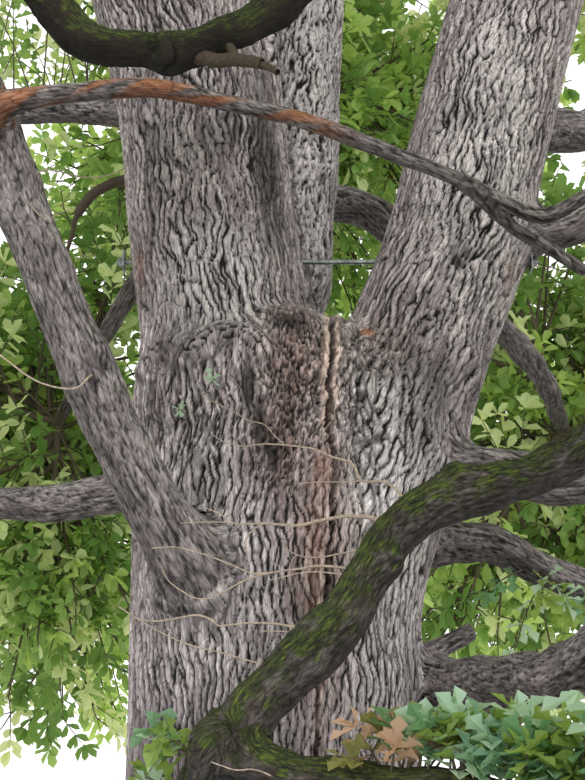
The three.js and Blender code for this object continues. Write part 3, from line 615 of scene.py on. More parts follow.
# A limb's own net of rays, out from its axis to the blended skin
def raysOf(limb, fine):
    if limb is None:
        return columnRays(fine)
    arcs = rowsOf(limb, fine)
    count = max(10, round(2 * math.pi * limb["chainRadii"][:30].mean() / fine))
    angles = np.linspace(-math.pi, math.pi, count + 1)
    bend = np.linspace(0, math.pi / 2, max(4, round(limb["radii"][-1] * 1.6 / fine)))[1:]  # rounded ends
    lift = np.concatenate([-bend[::-1], np.zeros(len(arcs)), bend])
    arcs = np.concatenate([np.zeros(len(bend)), arcs, np.full(len(bend), limb["length"])])
    tangent, normal = unit(along(limb, arcs, "tangents")), unit(along(limb, arcs, "normals"))
    binormal = np.cross(tangent, normal)
    rays = normal[:, None] * np.cos(angles)[None, :, None] + binormal[:, None] * np.sin(angles)[None, :, None]
    rays = rays * np.cos(lift)[:, None, None] + (tangent * np.sin(lift)[:, None])[:, None]
    origins = np.repeat(along(limb, arcs)[:, None], len(angles), 1)
    start = np.repeat(along(limb, arcs, "radii")[:, None], len(angles), 1)
    return origins, rays, start, arcs + along(limb, arcs, "radii") * lift, angles


# A place round and along the limb, for the fine grain that the material adds
def localPlace(limb, arc, angle):
    radius = girthOf(limb) / (2 * math.pi)
    return np.stack([radius * np.cos(angle), radius * np.sin(angle), arc], -1)


# Where two limbs' barks meet, one strays into the other by ridges, and the big stems' bark runs down
# over the trunk's
def strayAt(points, one, other):
    x, y, z = points.T
    wave = 0.035 * np.sin(x * 71 + 9 * np.sin(z * 5)) * np.sin(z * 17 + 2)
    wave += 0.03 * np.sin(x * 29 + y * 23 + 1)
    wave = wave * (1 if one < other else -1)
    if {one, other} & {"left_stem", "right_stem"} and "trunk" in (one, other):
        wave += 0.1 if one == "trunk" else -0.1
    return wave


# Shares of moss, of dark stain with painted shade, and of paleness with painted light, that a limb has all
# over
def filmAndPaintedLightOf(limb):
    name = "trunk" if limb is None else limb["name"]
    # mossy limbs are painted darker all over, the hanging ones most, as painted shade
    if limb is not None and limb.get("moss"):
        return np.array([1.0, 1.15 if limb.get("body") == "hanging" else 0.4, 0.0])
    # the rear stem is painted paler all over, as painted light
    if name == "rear_stem":
        return np.array([0.0, 0.0, 0.6])
    if name == "trunk" or name.endswith("_stem"):
        return np.zeros(3)
    # other live boughs are painted darker all over, as painted shade
    return np.array([0.14, 0.0 if limb.get("dead") else 0.33, 0.0])


skin = {
    "reach": {"trunk": 0.75, "limb": 0.34},  # how far past its own start a ray may go, in metres
    "rounds": {"trunk": 16, "limb": 9, "seam": 11},  # steps along a ray
    "seam": 0.12, "kept": 0.13,  # how near another limb's skin a place is settled exactly, and still kept
    "meet": 0.24, "sharp": 0.0018,  # how near another limb's bark counts, and how sharply it takes over
    "sunk": 0.02,  # how deep its edge lies under the limb that it meets
    "stuckPast": 0.02,  # a place this far off the blended skin is left out
}


# A coarse pass of steps out along every third ray, then an exact one where two limbs meet. Returns how
# far each ray goes, how far each place leads another limb's skin, its own gap, whether it stuck, and the
# others' gaps
def traceSkin(limb, group, origins, rays, start):
    part = "trunk" if limb is None else "limb"
    rows, cols = start.shape
    rowPick = np.unique(np.linspace(0, rows - 1, max(2, rows // 3)).round().astype(int))
    colPick = np.unique(np.linspace(0, cols - 1, max(8, cols // 3)).round().astype(int))
    o, r = origins[rowPick][:, colPick].reshape(-1, 3), rays[rowPick][:, colPick].reshape(-1, 3)
    t = start[rowPick][:, colPick].reshape(-1).copy()
    least, most = t.copy(), t + skin["reach"][part]
    for _ in range(skin["rounds"][part]):
        t = np.minimum(t + np.clip(-skinGap(group, o + r * t[:, None]), -0.05, 0.3), most)
        t = np.maximum(t, least * 0.98)
    spots = o + r * t[:, None]
    own = gapTo(limb, spots)
    others = [gapTo(other, spots) for other in group[1:]]
    rival = np.min(others, axis=0) if others else np.full(len(own), 9.0)

    def spread(values):
        coarseRows = values.reshape(len(rowPick), len(colPick))
        grid = np.stack([np.interp(np.arange(rows), rowPick, line) for line in coarseRows.T], 1)
        return np.stack([np.interp(np.arange(cols), colPick, row) for row in grid])

    reach, lead, ownGap = spread(t), spread(own - rival), spread(own)
    stuck = spread((t > most - 1e-3).astype(float))
    seam = np.abs(lead) < skin["seam"]
    if others and seam.any():
        o, r, t = origins[seam], rays[seam], reach[seam]
        limit = start[seam] + skin["reach"][part]
        for _ in range(skin["rounds"]["seam"]):
            t = t + np.clip(-skinGap(group, o + r * t[:, None]), -0.06, 0.1)
            t = np.clip(t, 0.98 * start[seam], limit)
        spots = o + r * t[:, None]
        reach[seam], ownGap[seam] = t, gapTo(limb, spots)
        lead[seam] = ownGap[seam] - np.min([gapTo(other, spots) for other in group[1:]], axis=0)
        stuck[seam] = np.abs(skinGap(group, spots)) > skin["stuckPast"]
    return reach, lead.ravel(), ownGap.ravel(), stuck.ravel(), [spread(gaps).ravel() for gaps in others]


def outwardNormals(points, rays):
    eastward = np.gradient(points, axis=1)
    closing = points[:, 1] - points[:, -2]
    eastward[:, 0] = closing
    eastward[:, -1] = closing
    normals = unit(np.cross(eastward, np.gradient(points, axis=0)))
    return normals * np.sign((normals * rays).sum(-1, keepdims=True) + 1e-9)


# The bark at places on a limb, mixed with its neighbours' where their skins meet
def mixedBark(limb, group, flat, arc, angle, ownGap, othersGaps):
    weight = np.ones(len(flat))
    filmAndPaintedLight = np.repeat(filmAndPaintedLightOf(limb)[None], len(flat), 0)
    mixed = [*barkRelief(limb, arc, angle), filmAndPaintedLight, localPlace(limb, arc, angle)]
    for other, gaps in zip(group[1:], othersGaps):
        close = np.flatnonzero(gaps < ownGap + skin["meet"])
        if not len(close):
            continue
        exact, otherArc, otherAngle = placeOn(other, flat[close])
        theirs = [*barkRelief(other, otherArc, otherAngle), filmAndPaintedLightOf(other)[None],
                  localPlace(other, otherArc, otherAngle)]
        stray = strayAt(flat[close], bodyOf(limb), bodyOf(other))
        w = np.exp(np.clip((ownGap[close] - exact + stray) / skin["sharp"], -12, 12))
        weight[close] += w
        for values, more in zip(mixed, theirs):
            values[close] += (w[:, None] if values.ndim == 2 else w) * more
    return [values / (weight[:, None] if values.ndim == 2 else weight) for values in mixed]


def addKnobs(limb, flat, height, marks):
    for place, wide, tall, hollow in knobs.get(limb["name"], ()):
        apart = np.linalg.norm(flat - np.array(place), axis=1) / wide
        height = height + tall * np.exp(-apart ** 2) - hollow * np.exp(-(apart / 0.45) ** 2)
        # a deep hollow is painted dark, as painted shade in it
        marks["stainAndShade"] = np.maximum(marks["stainAndShade"], (hollow > 0.01) * np.exp(-(apart / 0.6) ** 2))
    return height


# Quads between the rays of a net that closes on itself, where all four places are kept
def netQuads(rows, cols, keep):
    index = np.arange(rows * cols).reshape(rows, cols)
    quads = np.stack([index[:-1, :-1], index[:-1, 1:], index[1:, 1:], index[1:, :-1]], -1).reshape(-1, 4)
    quads = quads[keep[quads].all(1)]
    remap = np.arange(rows * cols)
    remap[index[:, -1]] = index[:, 0]
    return remap[quads]


# A limb's bark: its places, its faces, and what the finish reads at each place
def woodMesh(limb, fine):
    origins, rays, start, arcs, angles = raysOf(limb, fine)
    group = [limb] + neighboursOf(limb)
    reach, lead, ownGap, stuck, othersGaps = traceSkin(limb, group, origins, rays, start)
    points = origins + rays * reach[..., None]
    normals = outwardNormals(points, rays).reshape(-1, 3)
    flat = points.reshape(-1, 3)
    if limb is None:
        arc, angle = placeOn(None, flat)[1:]
    else:
        arc = np.repeat(arcs[:, None], len(angles), 1).ravel()
        angle = np.repeat(angles[None], len(arcs), 0).ravel()
    height, relief, tone, filmAndPaintedLight, grainPlace = mixedBark(limb, group, flat, arc, angle, ownGap, othersGaps)
    none = np.zeros(len(flat))
    bare = none
    marks = {"stainAndShade": filmAndPaintedLight[:, 1], "pale": filmAndPaintedLight[:, 2], "ruddy": none, "rust": none}
    if limb is not None:
        height = addKnobs(limb, flat, height, marks)
    if limb is None or limb["name"] in ("left_stem", "right_stem"):
        height, relief, bare, frontal = frontRelief(flat, height, relief)
        marks = {key: np.maximum(marks[key], frontal[key]) for key in marks}
    if limb is not None and limb.get("dead"):
        x = flat[:, 0]
        peeled = smoothstep(0.35, 0.6, 0.5 + 0.3 * np.sin(x * 9) + 0.3 * np.sin(x * 23 + angle * 2))
        marks["rust"] = 0.8 * peeled * (1 - smoothstep(0.02, 0.3, x))
        marks["stainAndShade"] = 0.34 * (1 - marks["rust"])
    behind = smoothstep(0.03, 0.1, lead) * skin["sunk"]  # under the limb that it meets, it sinks a little
    out = flat + normals * (height - behind)[:, None]
    if limb is None:
        out[:, 2] = np.where(flat[:, 2] < 1e-6, 0, np.maximum(out[:, 2], 0))
    elif limb.get("cap") == "sawn":  # cut flat across
        beyond = np.clip((out - limb["line"][-1]) @ limb["tangents"][-1], 0, None)
        out -= beyond[:, None] * limb["tangents"][-1]
        bare = np.maximum(bare, smoothstep(0.004, 0.012, beyond))
    quads = netQuads(len(arcs), len(angles), (lead < skin["kept"]) & (stuck < 0.5))
    marks.update(relief=relief, tone=tone, moss=filmAndPaintedLight[:, 0], bare=bare, grainPlace=grainPlace)
    return out, quads, marks


# An object from points and faces, of which only the points in use are kept
def meshObject(name, points, faces, materials, attributes=None, slots=None, smooth=True):
    used = np.unique(faces)
    order = np.full(len(points), -1)
    order[used] = np.arange(len(used))
    faces = order[faces]
    mesh = bpy.data.meshes.new(name)
    sides = faces.shape[1]
    mesh.vertices.add(len(used))
    mesh.vertices.foreach_set("co", points[used].astype(np.float32).ravel())
    mesh.loops.add(faces.size)
    mesh.loops.foreach_set("vertex_index", faces.astype(np.int32).ravel())
    mesh.polygons.add(len(faces))
    mesh.polygons.foreach_set("loop_start", np.arange(0, faces.size, sides, dtype=np.int32))
    for material in materials:
        mesh.materials.append(material)
    if slots is not None:
        mesh.polygons.foreach_set("material_index", slots.astype(np.int32))
    mesh.polygons.foreach_set("use_smooth", np.full(len(faces), smooth))
    for key, values in (attributes or {}).items():
        vector = values.ndim == 2
        layer = mesh.attributes.new(key, "FLOAT_VECTOR" if vector else "FLOAT", "POINT")
        layer.data.foreach_set("vector" if vector else "value", values[used].astype(np.float32).ravel())
    mesh.update(calc_edges=True)
    mesh.validate()
    obj = bpy.data.objects.new(name, mesh)
    bpy.context.collection.objects.link(obj)
    return obj


def dress(piece, slot, *nodes):
    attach(piece, "root")
    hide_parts(*nodes)


def toLinear(hexColour):
    parts = [int(hexColour[i:i + 2], 16) / 255 for i in (1, 3, 5)]
    return [p / 12.92 if p <= 0.04045 else ((p + 0.055) / 1.055) ** 2.4 for p in parts] + [1]


# A setting is the node's own, or an input's value, or the socket that an input is linked to
def addNode(tree, kind, settings):
    node = tree.nodes.new(kind)
    for key, value in settings.items():
        if isinstance(value, bpy.types.NodeSocket):
            tree.links.new(value, node.inputs[key])
        elif isinstance(key, str) and hasattr(node, key) and key not in node.inputs:
            setattr(node, key, value)
        else:
            node.inputs[key].default_value = value
    return node


# A material whose shader is what the finish's own function returns
def newMaterial(name, finish, *facts):
    material = bpy.data.materials.new(name)
    material.use_nodes = True
    tree = material.node_tree
    tree.nodes.clear()
    addNode(tree, "ShaderNodeOutputMaterial", {"Surface": finish(tree, *facts).outputs[0]})
    return material


bark = {
    "colours": {
        # the furrow colour is near black: partly the furrows' own colour, partly painted shade in them
        "furrow": "#16100e", "plate": "#8d8086", "plateLight": "#cdc0c5", "pale": "#e2d9de",
        "stainAndShade": "#141110", "ruddy": "#a57f70", "rust": "#a8673f", "bare": "#e6cdc4",
        "moss": "#1d220e", "mossLight": "#505c1c", "mossUnder": "#2f251c",
    },
    "fibres": 9.09, "chinks": 20, "tufts": 71.4, "patches": 286,  # spacing in mm
    "stretch": 0.22,  # fibres and chinks are 4.5 times as long as wide
    "strength": {"ruddy": 0.65, "stainAndShade": 0.9},
    "ramps": {  # a share from what is read: from low to high there, from low to high here
        "plateLight": ("tone", 0.2, 0.8, 0.0, 1.0),
        # the ridge share: dark in furrows, light on ridges, partly as painted shade
        "ridge": ("relief", 0.22, 0.9, 0.0, 1.0),
        "mossLight": ("fibres", 0.42, 0.7, 0.0, 1.0),
        "mossTop": ("upward", -0.25, 0.35, 0.0, 1.0),
        "fibreShade": ("fibres", 0.3, 0.7, 0.42, 1.48),
        "chinkShade": ("chinks", 0.0, 0.07, 0.42, 1.06),
        "patchShade": ("patches", 0.3, 0.7, 0.8, 1.15),
        "underShade": ("facing", -0.75, 0.0, 0.5, 1.0),  # undersides painted darker, as painted shade
        "chinkHeight": ("chinks", 0.0, 0.1, 0.0, 0.003),
    },
    "layers": (  # what comes of it, the share of the second colour, the first colour, the second
        ("plates", "plateLight", "plate", "plateLight"),
        # paler bark, and painted light
        ("paled", "pale", "plates", "pale"),
        ("reddened", "ruddy", "paled", "ruddy"),
        ("grooved", "ridge", "furrow", "reddened"),
        ("rusty", "rust", "grooved", "rust"),
        ("stripped", "bare", "rusty", "bare"),
        # dark stains, and painted shade in the split, in hollows, on the low trunk and on boughs
        ("stainedAndShaded", "stainAndShade", "stripped", "stainAndShade"),
        ("mossAbove", "mossLight", "moss", "mossLight"),
        ("mossBelow", "mossUnder", "stainedAndShaded", "mossUnder"),
        ("mossAll", "mossTop", "mossBelow", "mossAbove"),
        ("mossy", "moss", "stainedAndShaded", "mossAll"),
    ),
    "mossUnder": 0.72, "grainHeight": 0.012, "bump": 0.9, "roughness": 0.9,
}


# Oak bark: grey-brown plates over dark furrows, so the trunk reads as deeply ridged; the furrows' darkness is
# partly their own colour and partly painted shade
def furrowedBark(tree):
    reads = {key: addNode(tree, "ShaderNodeAttribute", {"attribute_name": key}).outputs["Fac"]
             for key in ("relief", "tone", "moss", "bare", "stainAndShade", "pale", "ruddy", "rust")}
    for key, strength in bark["strength"].items():
        weaker = {"operation": "MULTIPLY", 0: reads[key], 1: strength}
        reads[key] = addNode(tree, "ShaderNodeMath", weaker).outputs[0]
    place = addNode(tree, "ShaderNodeTexCoord", {}).outputs["Object"]
    local = addNode(tree, "ShaderNodeAttribute", {"attribute_name": "grainPlace"}).outputs["Vector"]
    lengthened = addNode(tree, "ShaderNodeVectorMath",
                         {"operation": "MULTIPLY", 0: local, 1: (1, 1, bark["stretch"])}).outputs[0]
    for key, detail, roughness, where in (("fibres", 5.0, 0.65, lengthened), ("patches", 3.0, 0.5, place),
                                          ("tufts", 5.0, 0.5, place)):
        noise = {"Scale": 1000 / bark[key], "Detail": detail, "Roughness": roughness, "Vector": where}
        reads[key] = addNode(tree, "ShaderNodeTexNoise", noise).outputs["Fac"]
    borders = {"feature": "DISTANCE_TO_EDGE", "Scale": 1000 / bark["chinks"], "Vector": lengthened}
    reads["chinks"] = addNode(tree, "ShaderNodeTexVoronoi", borders).outputs["Distance"]
    # moss sits on what faces up, in tufts
    normal = addNode(tree, "ShaderNodeNewGeometry", {}).outputs["Normal"]
    reads["facing"] = addNode(tree, "ShaderNodeSeparateXYZ", {0: normal}).outputs[2]
    lift = addNode(tree, "ShaderNodeMapRange", {
        "Value": reads["tufts"], "From Min": 0.3, "From Max": 0.7, "To Min": -0.7, "To Max": 0.7}).outputs[0]
    uneven = {"operation": "ADD", 0: reads["facing"], 1: lift}
    reads["upward"] = addNode(tree, "ShaderNodeMath", uneven).outputs[0]
    shares = {**reads, "mossUnder": bark["mossUnder"]}
    for key, (source, low, high, toLow, toHigh) in bark["ramps"].items():
        ends = {"From Min": low, "From Max": high, "To Min": toLow, "To Max": toHigh}
        shares[key] = addNode(tree, "ShaderNodeMapRange", {"Value": reads[source], **ends}).outputs[0]
    colours = {key: toLinear(value) for key, value in bark["colours"].items()}
    for key, share, first, second in bark["layers"]:
        mix = {"data_type": "RGBA", 0: shares[share], 6: colours[first], 7: colours[second]}
        colours[key] = addNode(tree, "ShaderNodeMix", mix).outputs[2]
    shade = shares["fibreShade"]
    # the last of these paints undersides darker, as painted shade
    for key in ("chinkShade", "patchShade", "underShade"):
        darker = {"operation": "MULTIPLY", 0: shade, 1: shares[key]}
        shade = addNode(tree, "ShaderNodeMath", darker).outputs[0]
    toned = addNode(tree, "ShaderNodeVectorMath", {"operation": "SCALE", 0: colours["mossy"], "Scale": shade})
    height = addNode(tree, "ShaderNodeMath", {
        "operation": "MULTIPLY_ADD", 0: reads["fibres"], 1: bark["grainHeight"],
        2: shares["chinkHeight"]}).outputs[0]
    bump = addNode(tree, "ShaderNodeBump", {"Strength": bark["bump"], "Distance": 1.0, "Height": height})
    return addNode(tree, "ShaderNodeBsdfPrincipled", {
        "Roughness": bark["roughness"], "IOR": 1.45,
        "Base Color": toned.outputs[0], "Normal": bump.outputs[0]})


barkLook = newMaterial("furrowed_oak_bark", furrowedBark)


# A limb's faces in parts from the ground up, of which none has too many
def splitPieces(name, points, quads, most=95000):
    count = math.ceil(len(quads) / most)
    order = np.argsort(points[quads[:, 0], 2], kind="stable")
    for i, part in enumerate(np.array_split(order, count)):
        yield f"{name}_bark_{i + 1}" if count > 1 else f"{name}_bark", quads[part]


def barkSlot(name):
    if name.startswith(("mossy", "hanging")):
        return "mossy_bark"
    return "peeled_wood" if name.startswith("peeled") else "bark"


def addWood():
    for limb in [None, *limbs.values()]:
        name = "trunk" if limb is None else limb["name"]
        fine = grain["fine"] if name in ("trunk", "left_stem", "right_stem") else grain["bough"]
        points, quads, attributes = woodMesh(limb, fine * coarse)
        for pieceName, part in splitPieces(name, points, quads):
            piece = meshObject(pieceName, points, part, [barkLook], attributes)
            dress(piece, barkSlot(name), name)
            print("wood:", pieceName, len(part))


addWood()


# How a mass grows: a stem, main twigs and finer ones between them, branches, shoots, leaves in rosettes
twigRule = {
    "straight": 0.35, "beyond": 0.3, "tip": 0.4,  # the stem's start, how far past the middle, its thinning
    "main": 6, "between": 9, "share": 0.6, "tipRadius": 0.014, "slant": 0.3, "arch": (-0.02, 0.14),
    "sprayLength": 1.6, "fullSize": 2.4, "leastReach": 0.25, "reachStep": 0.05,
    "outwards": 0.35, "seeded": 0.72,  # how branches' faces turn away from straight up
    "branches": 11, "branchFrom": 0.08, "outer": 0.7, "branchTurn": 60, "branchRadii": (0.017, 0.006),
    "hub": 3, "hubUpTo": 0.4,  # short branches round the middle of the mass, on each twig
    "shoots": 7, "shootTurn": 0.95, "shootLift": 0.55, "shootLength": 0.46, "shootRadii": (0.0065, 0.003),
    "rosettes": ((0.4, 2), (0.7, 3), (1.0, 5)),  # place on a shoot, leaves there
    "fullness": {("skirt", 1): 1.6, ("skirt", 2): 1.8, ("waist", 1): 1.1, ("waist", 2): 1.8,
                 ("waist", 3): 1.8, "low": 0.9},  # of the masses behind the stems, and of the low one
    "elsewhere": 0.9,
}
goldenTurn = math.pi * (3 - math.sqrt(5))


# Directions spread evenly over a sphere
def spreadDirection(index, count, spin):
    z = 1 - (2 * index + 1) / count
    flat = math.sqrt(1 - z * z)
    turn = index * goldenTurn + spin
    return np.array([flat * math.cos(turn), flat * math.sin(turn), z])


# Inside the mass's ellipsoid, and nearer to it than to any other mass
def inSpace(mass, points, margin=0.015):
    inside = (((points - mass["centre"]) / mass["radii"]) ** 2).sum(-1) < 1
    power = ((points - mass["centre"]) ** 2).sum(-1) - mass["radii"][0] ** 2
    for other in masses:
        if other is not mass:
            apart = np.linalg.norm(mass["centre"] - other["centre"])
            theirs = ((points - other["centre"]) ** 2).sum(-1) - other["radii"][0] ** 2
            inside &= power + 2 * margin * apart < theirs
    return inside


def spaceReach(mass, direction):
    steps = np.arange(1, 80) * twigRule["reachStep"]
    inside = inSpace(mass, mass["centre"] + direction * steps[:, None])
    return steps[np.argmin(inside)] - twigRule["reachStep"]


def sizeOf(mass):
    return min(1, mass["radii"][0] / twigRule["fullSize"])


def massStem(mass, bough):
    tip, heading = bough["line"][-1], bough["tangents"][-1]
    start = tip - heading * 0.03
    through = mass["centre"] - start
    ahead = start + heading * twigRule["straight"] * np.linalg.norm(through)
    end = mass["centre"] + through * twigRule["beyond"]
    radius = bough["radii"][-1]
    return makeLimb("stem", [start, ahead, mass["centre"], end], (radius, radius * twigRule["tip"]), collar=0)


def mainTwig(mass, stem, index):
    spin = 2 * math.pi * share(mass["seed"], 0)
    if index < twigRule["main"]:
        direction = spreadDirection(index, twigRule["main"], spin)
        inward = twigRule["sprayLength"]
    else:  # finer ones between those
        direction = spreadDirection(index - twigRule["main"], twigRule["between"], spin + 1.1)
        inward = twigRule["sprayLength"] * 0.5
    reach = spaceReach(mass, direction) - sizeOf(mass) * inward
    target = mass["centre"] + direction * max(reach, twigRule["leastReach"] * mass["radii"][0])
    axis = stem["line"][-1] - stem["line"][0]
    ahead = (target - stem["line"][0]).dot(axis) / axis.dot(axis)
    arc = np.array([min(max(ahead - twigRule["slant"], 0.08), 0.96) * stem["length"]])
    root = along(stem, arc)[0]
    low, high = twigRule["arch"]
    rise = low + (high - low) * share(mass["seed"], 30 + index)
    middle = (root + target) / 2 + up * rise * np.linalg.norm(target - root)
    radius = twigRule["share"] * along(stem, arc, "radii")[0]
    return makeLimb("twig", [root, middle, target], (radius, twigRule["tipRadius"]), collar=0)


# Vectors turned round axes, and some vectors square to given ones
def turned(vectors, axes, angles):
    c, s = np.cos(angles)[:, None], np.sin(angles)[:, None]
    return vectors * c + np.cross(axes, vectors) * s + axes * (axes * vectors).sum(1, keepdims=True) * (1 - c)


def acrossTo(vectors):
    return unit(np.cross(vectors, np.where(np.abs(vectors[:, 2:]) < 0.9, [[0.0, 0, 1]], [[1.0, 0, 0]])))


# Slightly arched shoots: where one is at a share of its length
def spotOn(shoots, u):
    rise = up * (4 * shoots["arch"] * u * (1 - u) * shoots["length"])[:, None]
    return shoots["root"] + shoots["heading"] * (shoots["length"] * u)[:, None] + rise


# Tubes round all shoots at once, with a few sides and rings each
def shootTubes(shoots, radii, sides, rings):
    first = acrossTo(shoots["heading"])
    second = np.cross(shoots["heading"], first)
    count = len(first)
    points = np.empty((count, rings, sides, 3))
    for i in range(rings):
        u = i / (rings - 1)
        middle = spotOn(shoots, np.full(count, u))
        radius = radii[0] + (radii[1] - radii[0]) * u
        for k in range(sides):
            a = 2 * math.pi * k / sides
            points[:, i, k] = middle + radius * (first * math.cos(a) + second * math.sin(a))
    index = np.arange(points[..., 0].size).reshape(count, rings, sides)
    after = np.roll(index, -1, axis=2)
    quads = np.stack([index[:, :-1], after[:, :-1], after[:, 1:], index[:, 1:]], -1).reshape(-1, 4)
    return points.reshape(-1, 3), quads


def limbTube(limb, sides, rings, uneven=0.0):
    arcs = np.linspace(0, limb["length"], rings)
    tangent, normal = along(limb, arcs, "tangents"), along(limb, arcs, "normals")
    angles = np.arange(sides) * 2 * math.pi / sides
    ways = normal[:, None] * np.cos(angles)[None, :, None]
    ways = ways + np.cross(tangent, normal)[:, None] * np.sin(angles)[None, :, None]
    lumps = np.sin(arcs[:, None] * 90 + angles * 2) * np.sin(arcs[:, None] * 37 + 3 * angles)
    radii = along(limb, arcs, "radii")[:, None] * (1 + uneven * lumps)
    points = along(limb, arcs)[:, None] + ways * radii[..., None]
    index = np.arange(rings * sides).reshape(rings, sides)
    after = np.roll(index, -1, axis=1)
    quads = np.stack([index[:-1], after[:-1], after[1:], index[1:]], -1).reshape(-1, 4)
    return points.reshape(-1, 3), quads


def joined(parts):
    points, faces, offset = [], [], 0
    for p, f in parts:
        points.append(p)
        faces.append(f + offset)
        offset += len(p)
    return np.vstack(points), np.vstack(faces)


# Leaf lengths in metres by mass, and a leaf's outline
leafLook = {
    "near": (0.11, 0.17), "far": (0.15, 0.215), "low": (0.1, 0.15), "sprig": (0.075, 0.125),
    "bud": (0.04, 0.065),
    "width": 0.6, "fold": 0.12,
    "lobed": (((0, 0), (0.34, 0.36), (0.16, 0.48), (0.5, 0.72), (0, 1)),  # half a leaf up close, (out, along)
              ((0, 1, 2), (0, 2, 4), (2, 3, 4))),
    "simple": (((0, 0), (0.36, 0.36), (0.44, 0.74), (0, 1)), ((0, 1, 3), (1, 2, 3))),  # and far off
}


# Side shoots on a set of parents, at shares of their length, turned to alternate sides
def sideShoots(rng, parents, places, turn, length, lift):
    count = len(parents["root"])
    sets = []
    for k, u in enumerate(places):
        last = k == len(places) - 1
        angle = np.full(count, 0.0 if last else turn * (1 if k % 2 else -1)) + rng.uniform(-0.25, 0.25, count)
        heading = turned(parents["heading"], parents["normal"], angle)
        heading = unit(heading + parents["normal"] * rng.uniform(-lift, lift, (count, 1)))
        normal = unit(parents["normal"] + rng.uniform(-0.35, 0.35, (count, 3)))
        normal = unit(normal - heading * (normal * heading).sum(1, keepdims=True))
        sets.append({"root": spotOn(parents, np.full(count, u)), "heading": heading, "normal": normal,
                     "length": length * (1.15 - 0.45 * u) * rng.uniform(0.75, 1.2, count),
                     "arch": np.zeros(count), "spray": parents["spray"]})
    return {key: np.concatenate([s[key] for s in sets]) for key in sets[0]}


def picked(shoots, keep):
    return {key: values[keep] for key, values in shoots.items()}


def tipsOf(shoots):
    return spotOn(shoots, np.ones(len(shoots["root"])))


def inSolidBox(points, margin):
    low, high = (np.array(list(corner)) for corner in solidBounds)
    return ((points > low - margin) & (points < high + margin)).all(1)


# Shortened until they end in the mass's space and not beyond the tree that was built, or left out
def fitted(mass, shoots):
    for _ in range(7):
        tips = tipsOf(shoots)
        out = ~(inSpace(mass, tips) & inSolidBox(tips, 0.05))
        shoots["length"] = np.where(out, shoots["length"] * 0.8, shoots["length"])
    tips = tipsOf(shoots)
    return picked(shoots, inSpace(mass, tips) & inSolidBox(tips, 0.05))


# The photo was taken from here, looking up
viewpoint = {"place": (0, -7, 1.6), "upwards": 20, "lens": 75, "sensor": 36}


# What stands in the photo's picture before the trunk, where nothing may cover it
def beforeTrunk(points):
    tilt = math.radians(viewpoint["upwards"])
    _, y, z = viewpoint["place"]
    ahead, rise = points[:, 1] - y, points[:, 2] - z
    depth = ahead * math.cos(tilt) + rise * math.sin(tilt)
    height = (rise * math.cos(tilt) - ahead * math.sin(tilt)) / np.maximum(depth, 0.05)
    sideways = points[:, 0] / np.maximum(depth, 0.05)
    return (depth > 0) & (np.abs(sideways) < 0.21) & (np.abs(height) < 0.27) & (points[:, 1] < -1.1)


# Branches on a twig: root, heading, face and length of each
def twigBranches(rng, mass, twig, index, fullness):
    size = sizeOf(mass)
    outward = unit(twig["line"][-1] - mass["centre"])
    places = np.linspace(0, 1, round(twigRule["branches"] * fullness)) ** twigRule["outer"]
    places = twigRule["branchFrom"] + (1 - twigRule["branchFrom"]) * places
    arcs = places * twig["length"]
    tangents = along(twig, arcs, "tangents")
    total = twigRule["main"] * len(places)
    branches = []
    for k, u in enumerate(places):
        seeded = spreadDirection((index * len(places) + k) % total, total, mass["seed"])
        normal = unit(up + twigRule["outwards"] * outward + twigRule["seeded"] * seeded)
        turn = math.radians(twigRule["branchTurn"]) * (1 if k % 2 else -1)
        if k == len(places) - 1:
            turn = 0.0
        heading = turned(tangents[k:k + 1], normal[None], np.array([turn]))[0]
        heading = unit(heading + normal * rng.uniform(-0.5, 0.6))
        normal = unit(normal - heading * normal.dot(heading))
        length = size * twigRule["sprayLength"] * (1.1 - 0.35 * u) * rng.uniform(0.75, 1.1)
        branches.append((along(twig, arcs[k:k + 1])[0], heading, normal, length))
    for _ in range(twigRule["hub"] if fullness > 1 else 1):
        root = along(twig, rng.uniform(0.02, twigRule["hubUpTo"], 1) * twig["length"])[0]
        heading, normal = unit(rng.normal(size=3)), unit(rng.normal(size=3))
        normal = unit(normal - heading * normal.dot(heading))
        branches.append((root, heading, normal, size * twigRule["sprayLength"] * rng.uniform(0.35, 0.6)))
    return branches


def growMass(mass, bough):
    rng = np.random.default_rng(mass["seed"])
    stem = massStem(mass, bough)
    fullness = twigRule["fullness"].get(mass["key"], twigRule["elsewhere"])
    wood = [limbTube(stem, 7, 14)]
    grown = []
    for index in range(twigRule["main"] + (twigRule["between"] if fullness > 1 else 0)):
        twig = mainTwig(mass, stem, index)
        wood.append(limbTube(twig, 5, 9))
        grown += twigBranches(rng, mass, twig, index, fullness)
    branches = dict(zip(("root", "heading", "normal", "length"), map(np.array, zip(*grown))))
    branches["arch"] = rng.uniform(-0.02, 0.08, len(grown))
    branches["spray"] = np.arange(len(grown))
    branches = fitted(mass, branches)
    length = twigRule["shootLength"] * (0.5 + 0.5 * sizeOf(mass))
    shoots = sideShoots(rng, branches, np.linspace(0.2, 1, twigRule["shoots"]), twigRule["shootTurn"], length,
                        twigRule["shootLift"])
    shoots = fitted(mass, shoots)
    if mass["key"] != "low":
        branches = picked(branches, ~beforeTrunk(tipsOf(branches)))
        shoots = picked(shoots, ~beforeTrunk(tipsOf(shoots)))
    wood.append(shootTubes(branches, twigRule["branchRadii"], 4, 4))
    wood.append(shootTubes(shoots, twigRule["shootRadii"], 3, 2))
    return joined(wood), growLeaves(rng, mass, shoots)


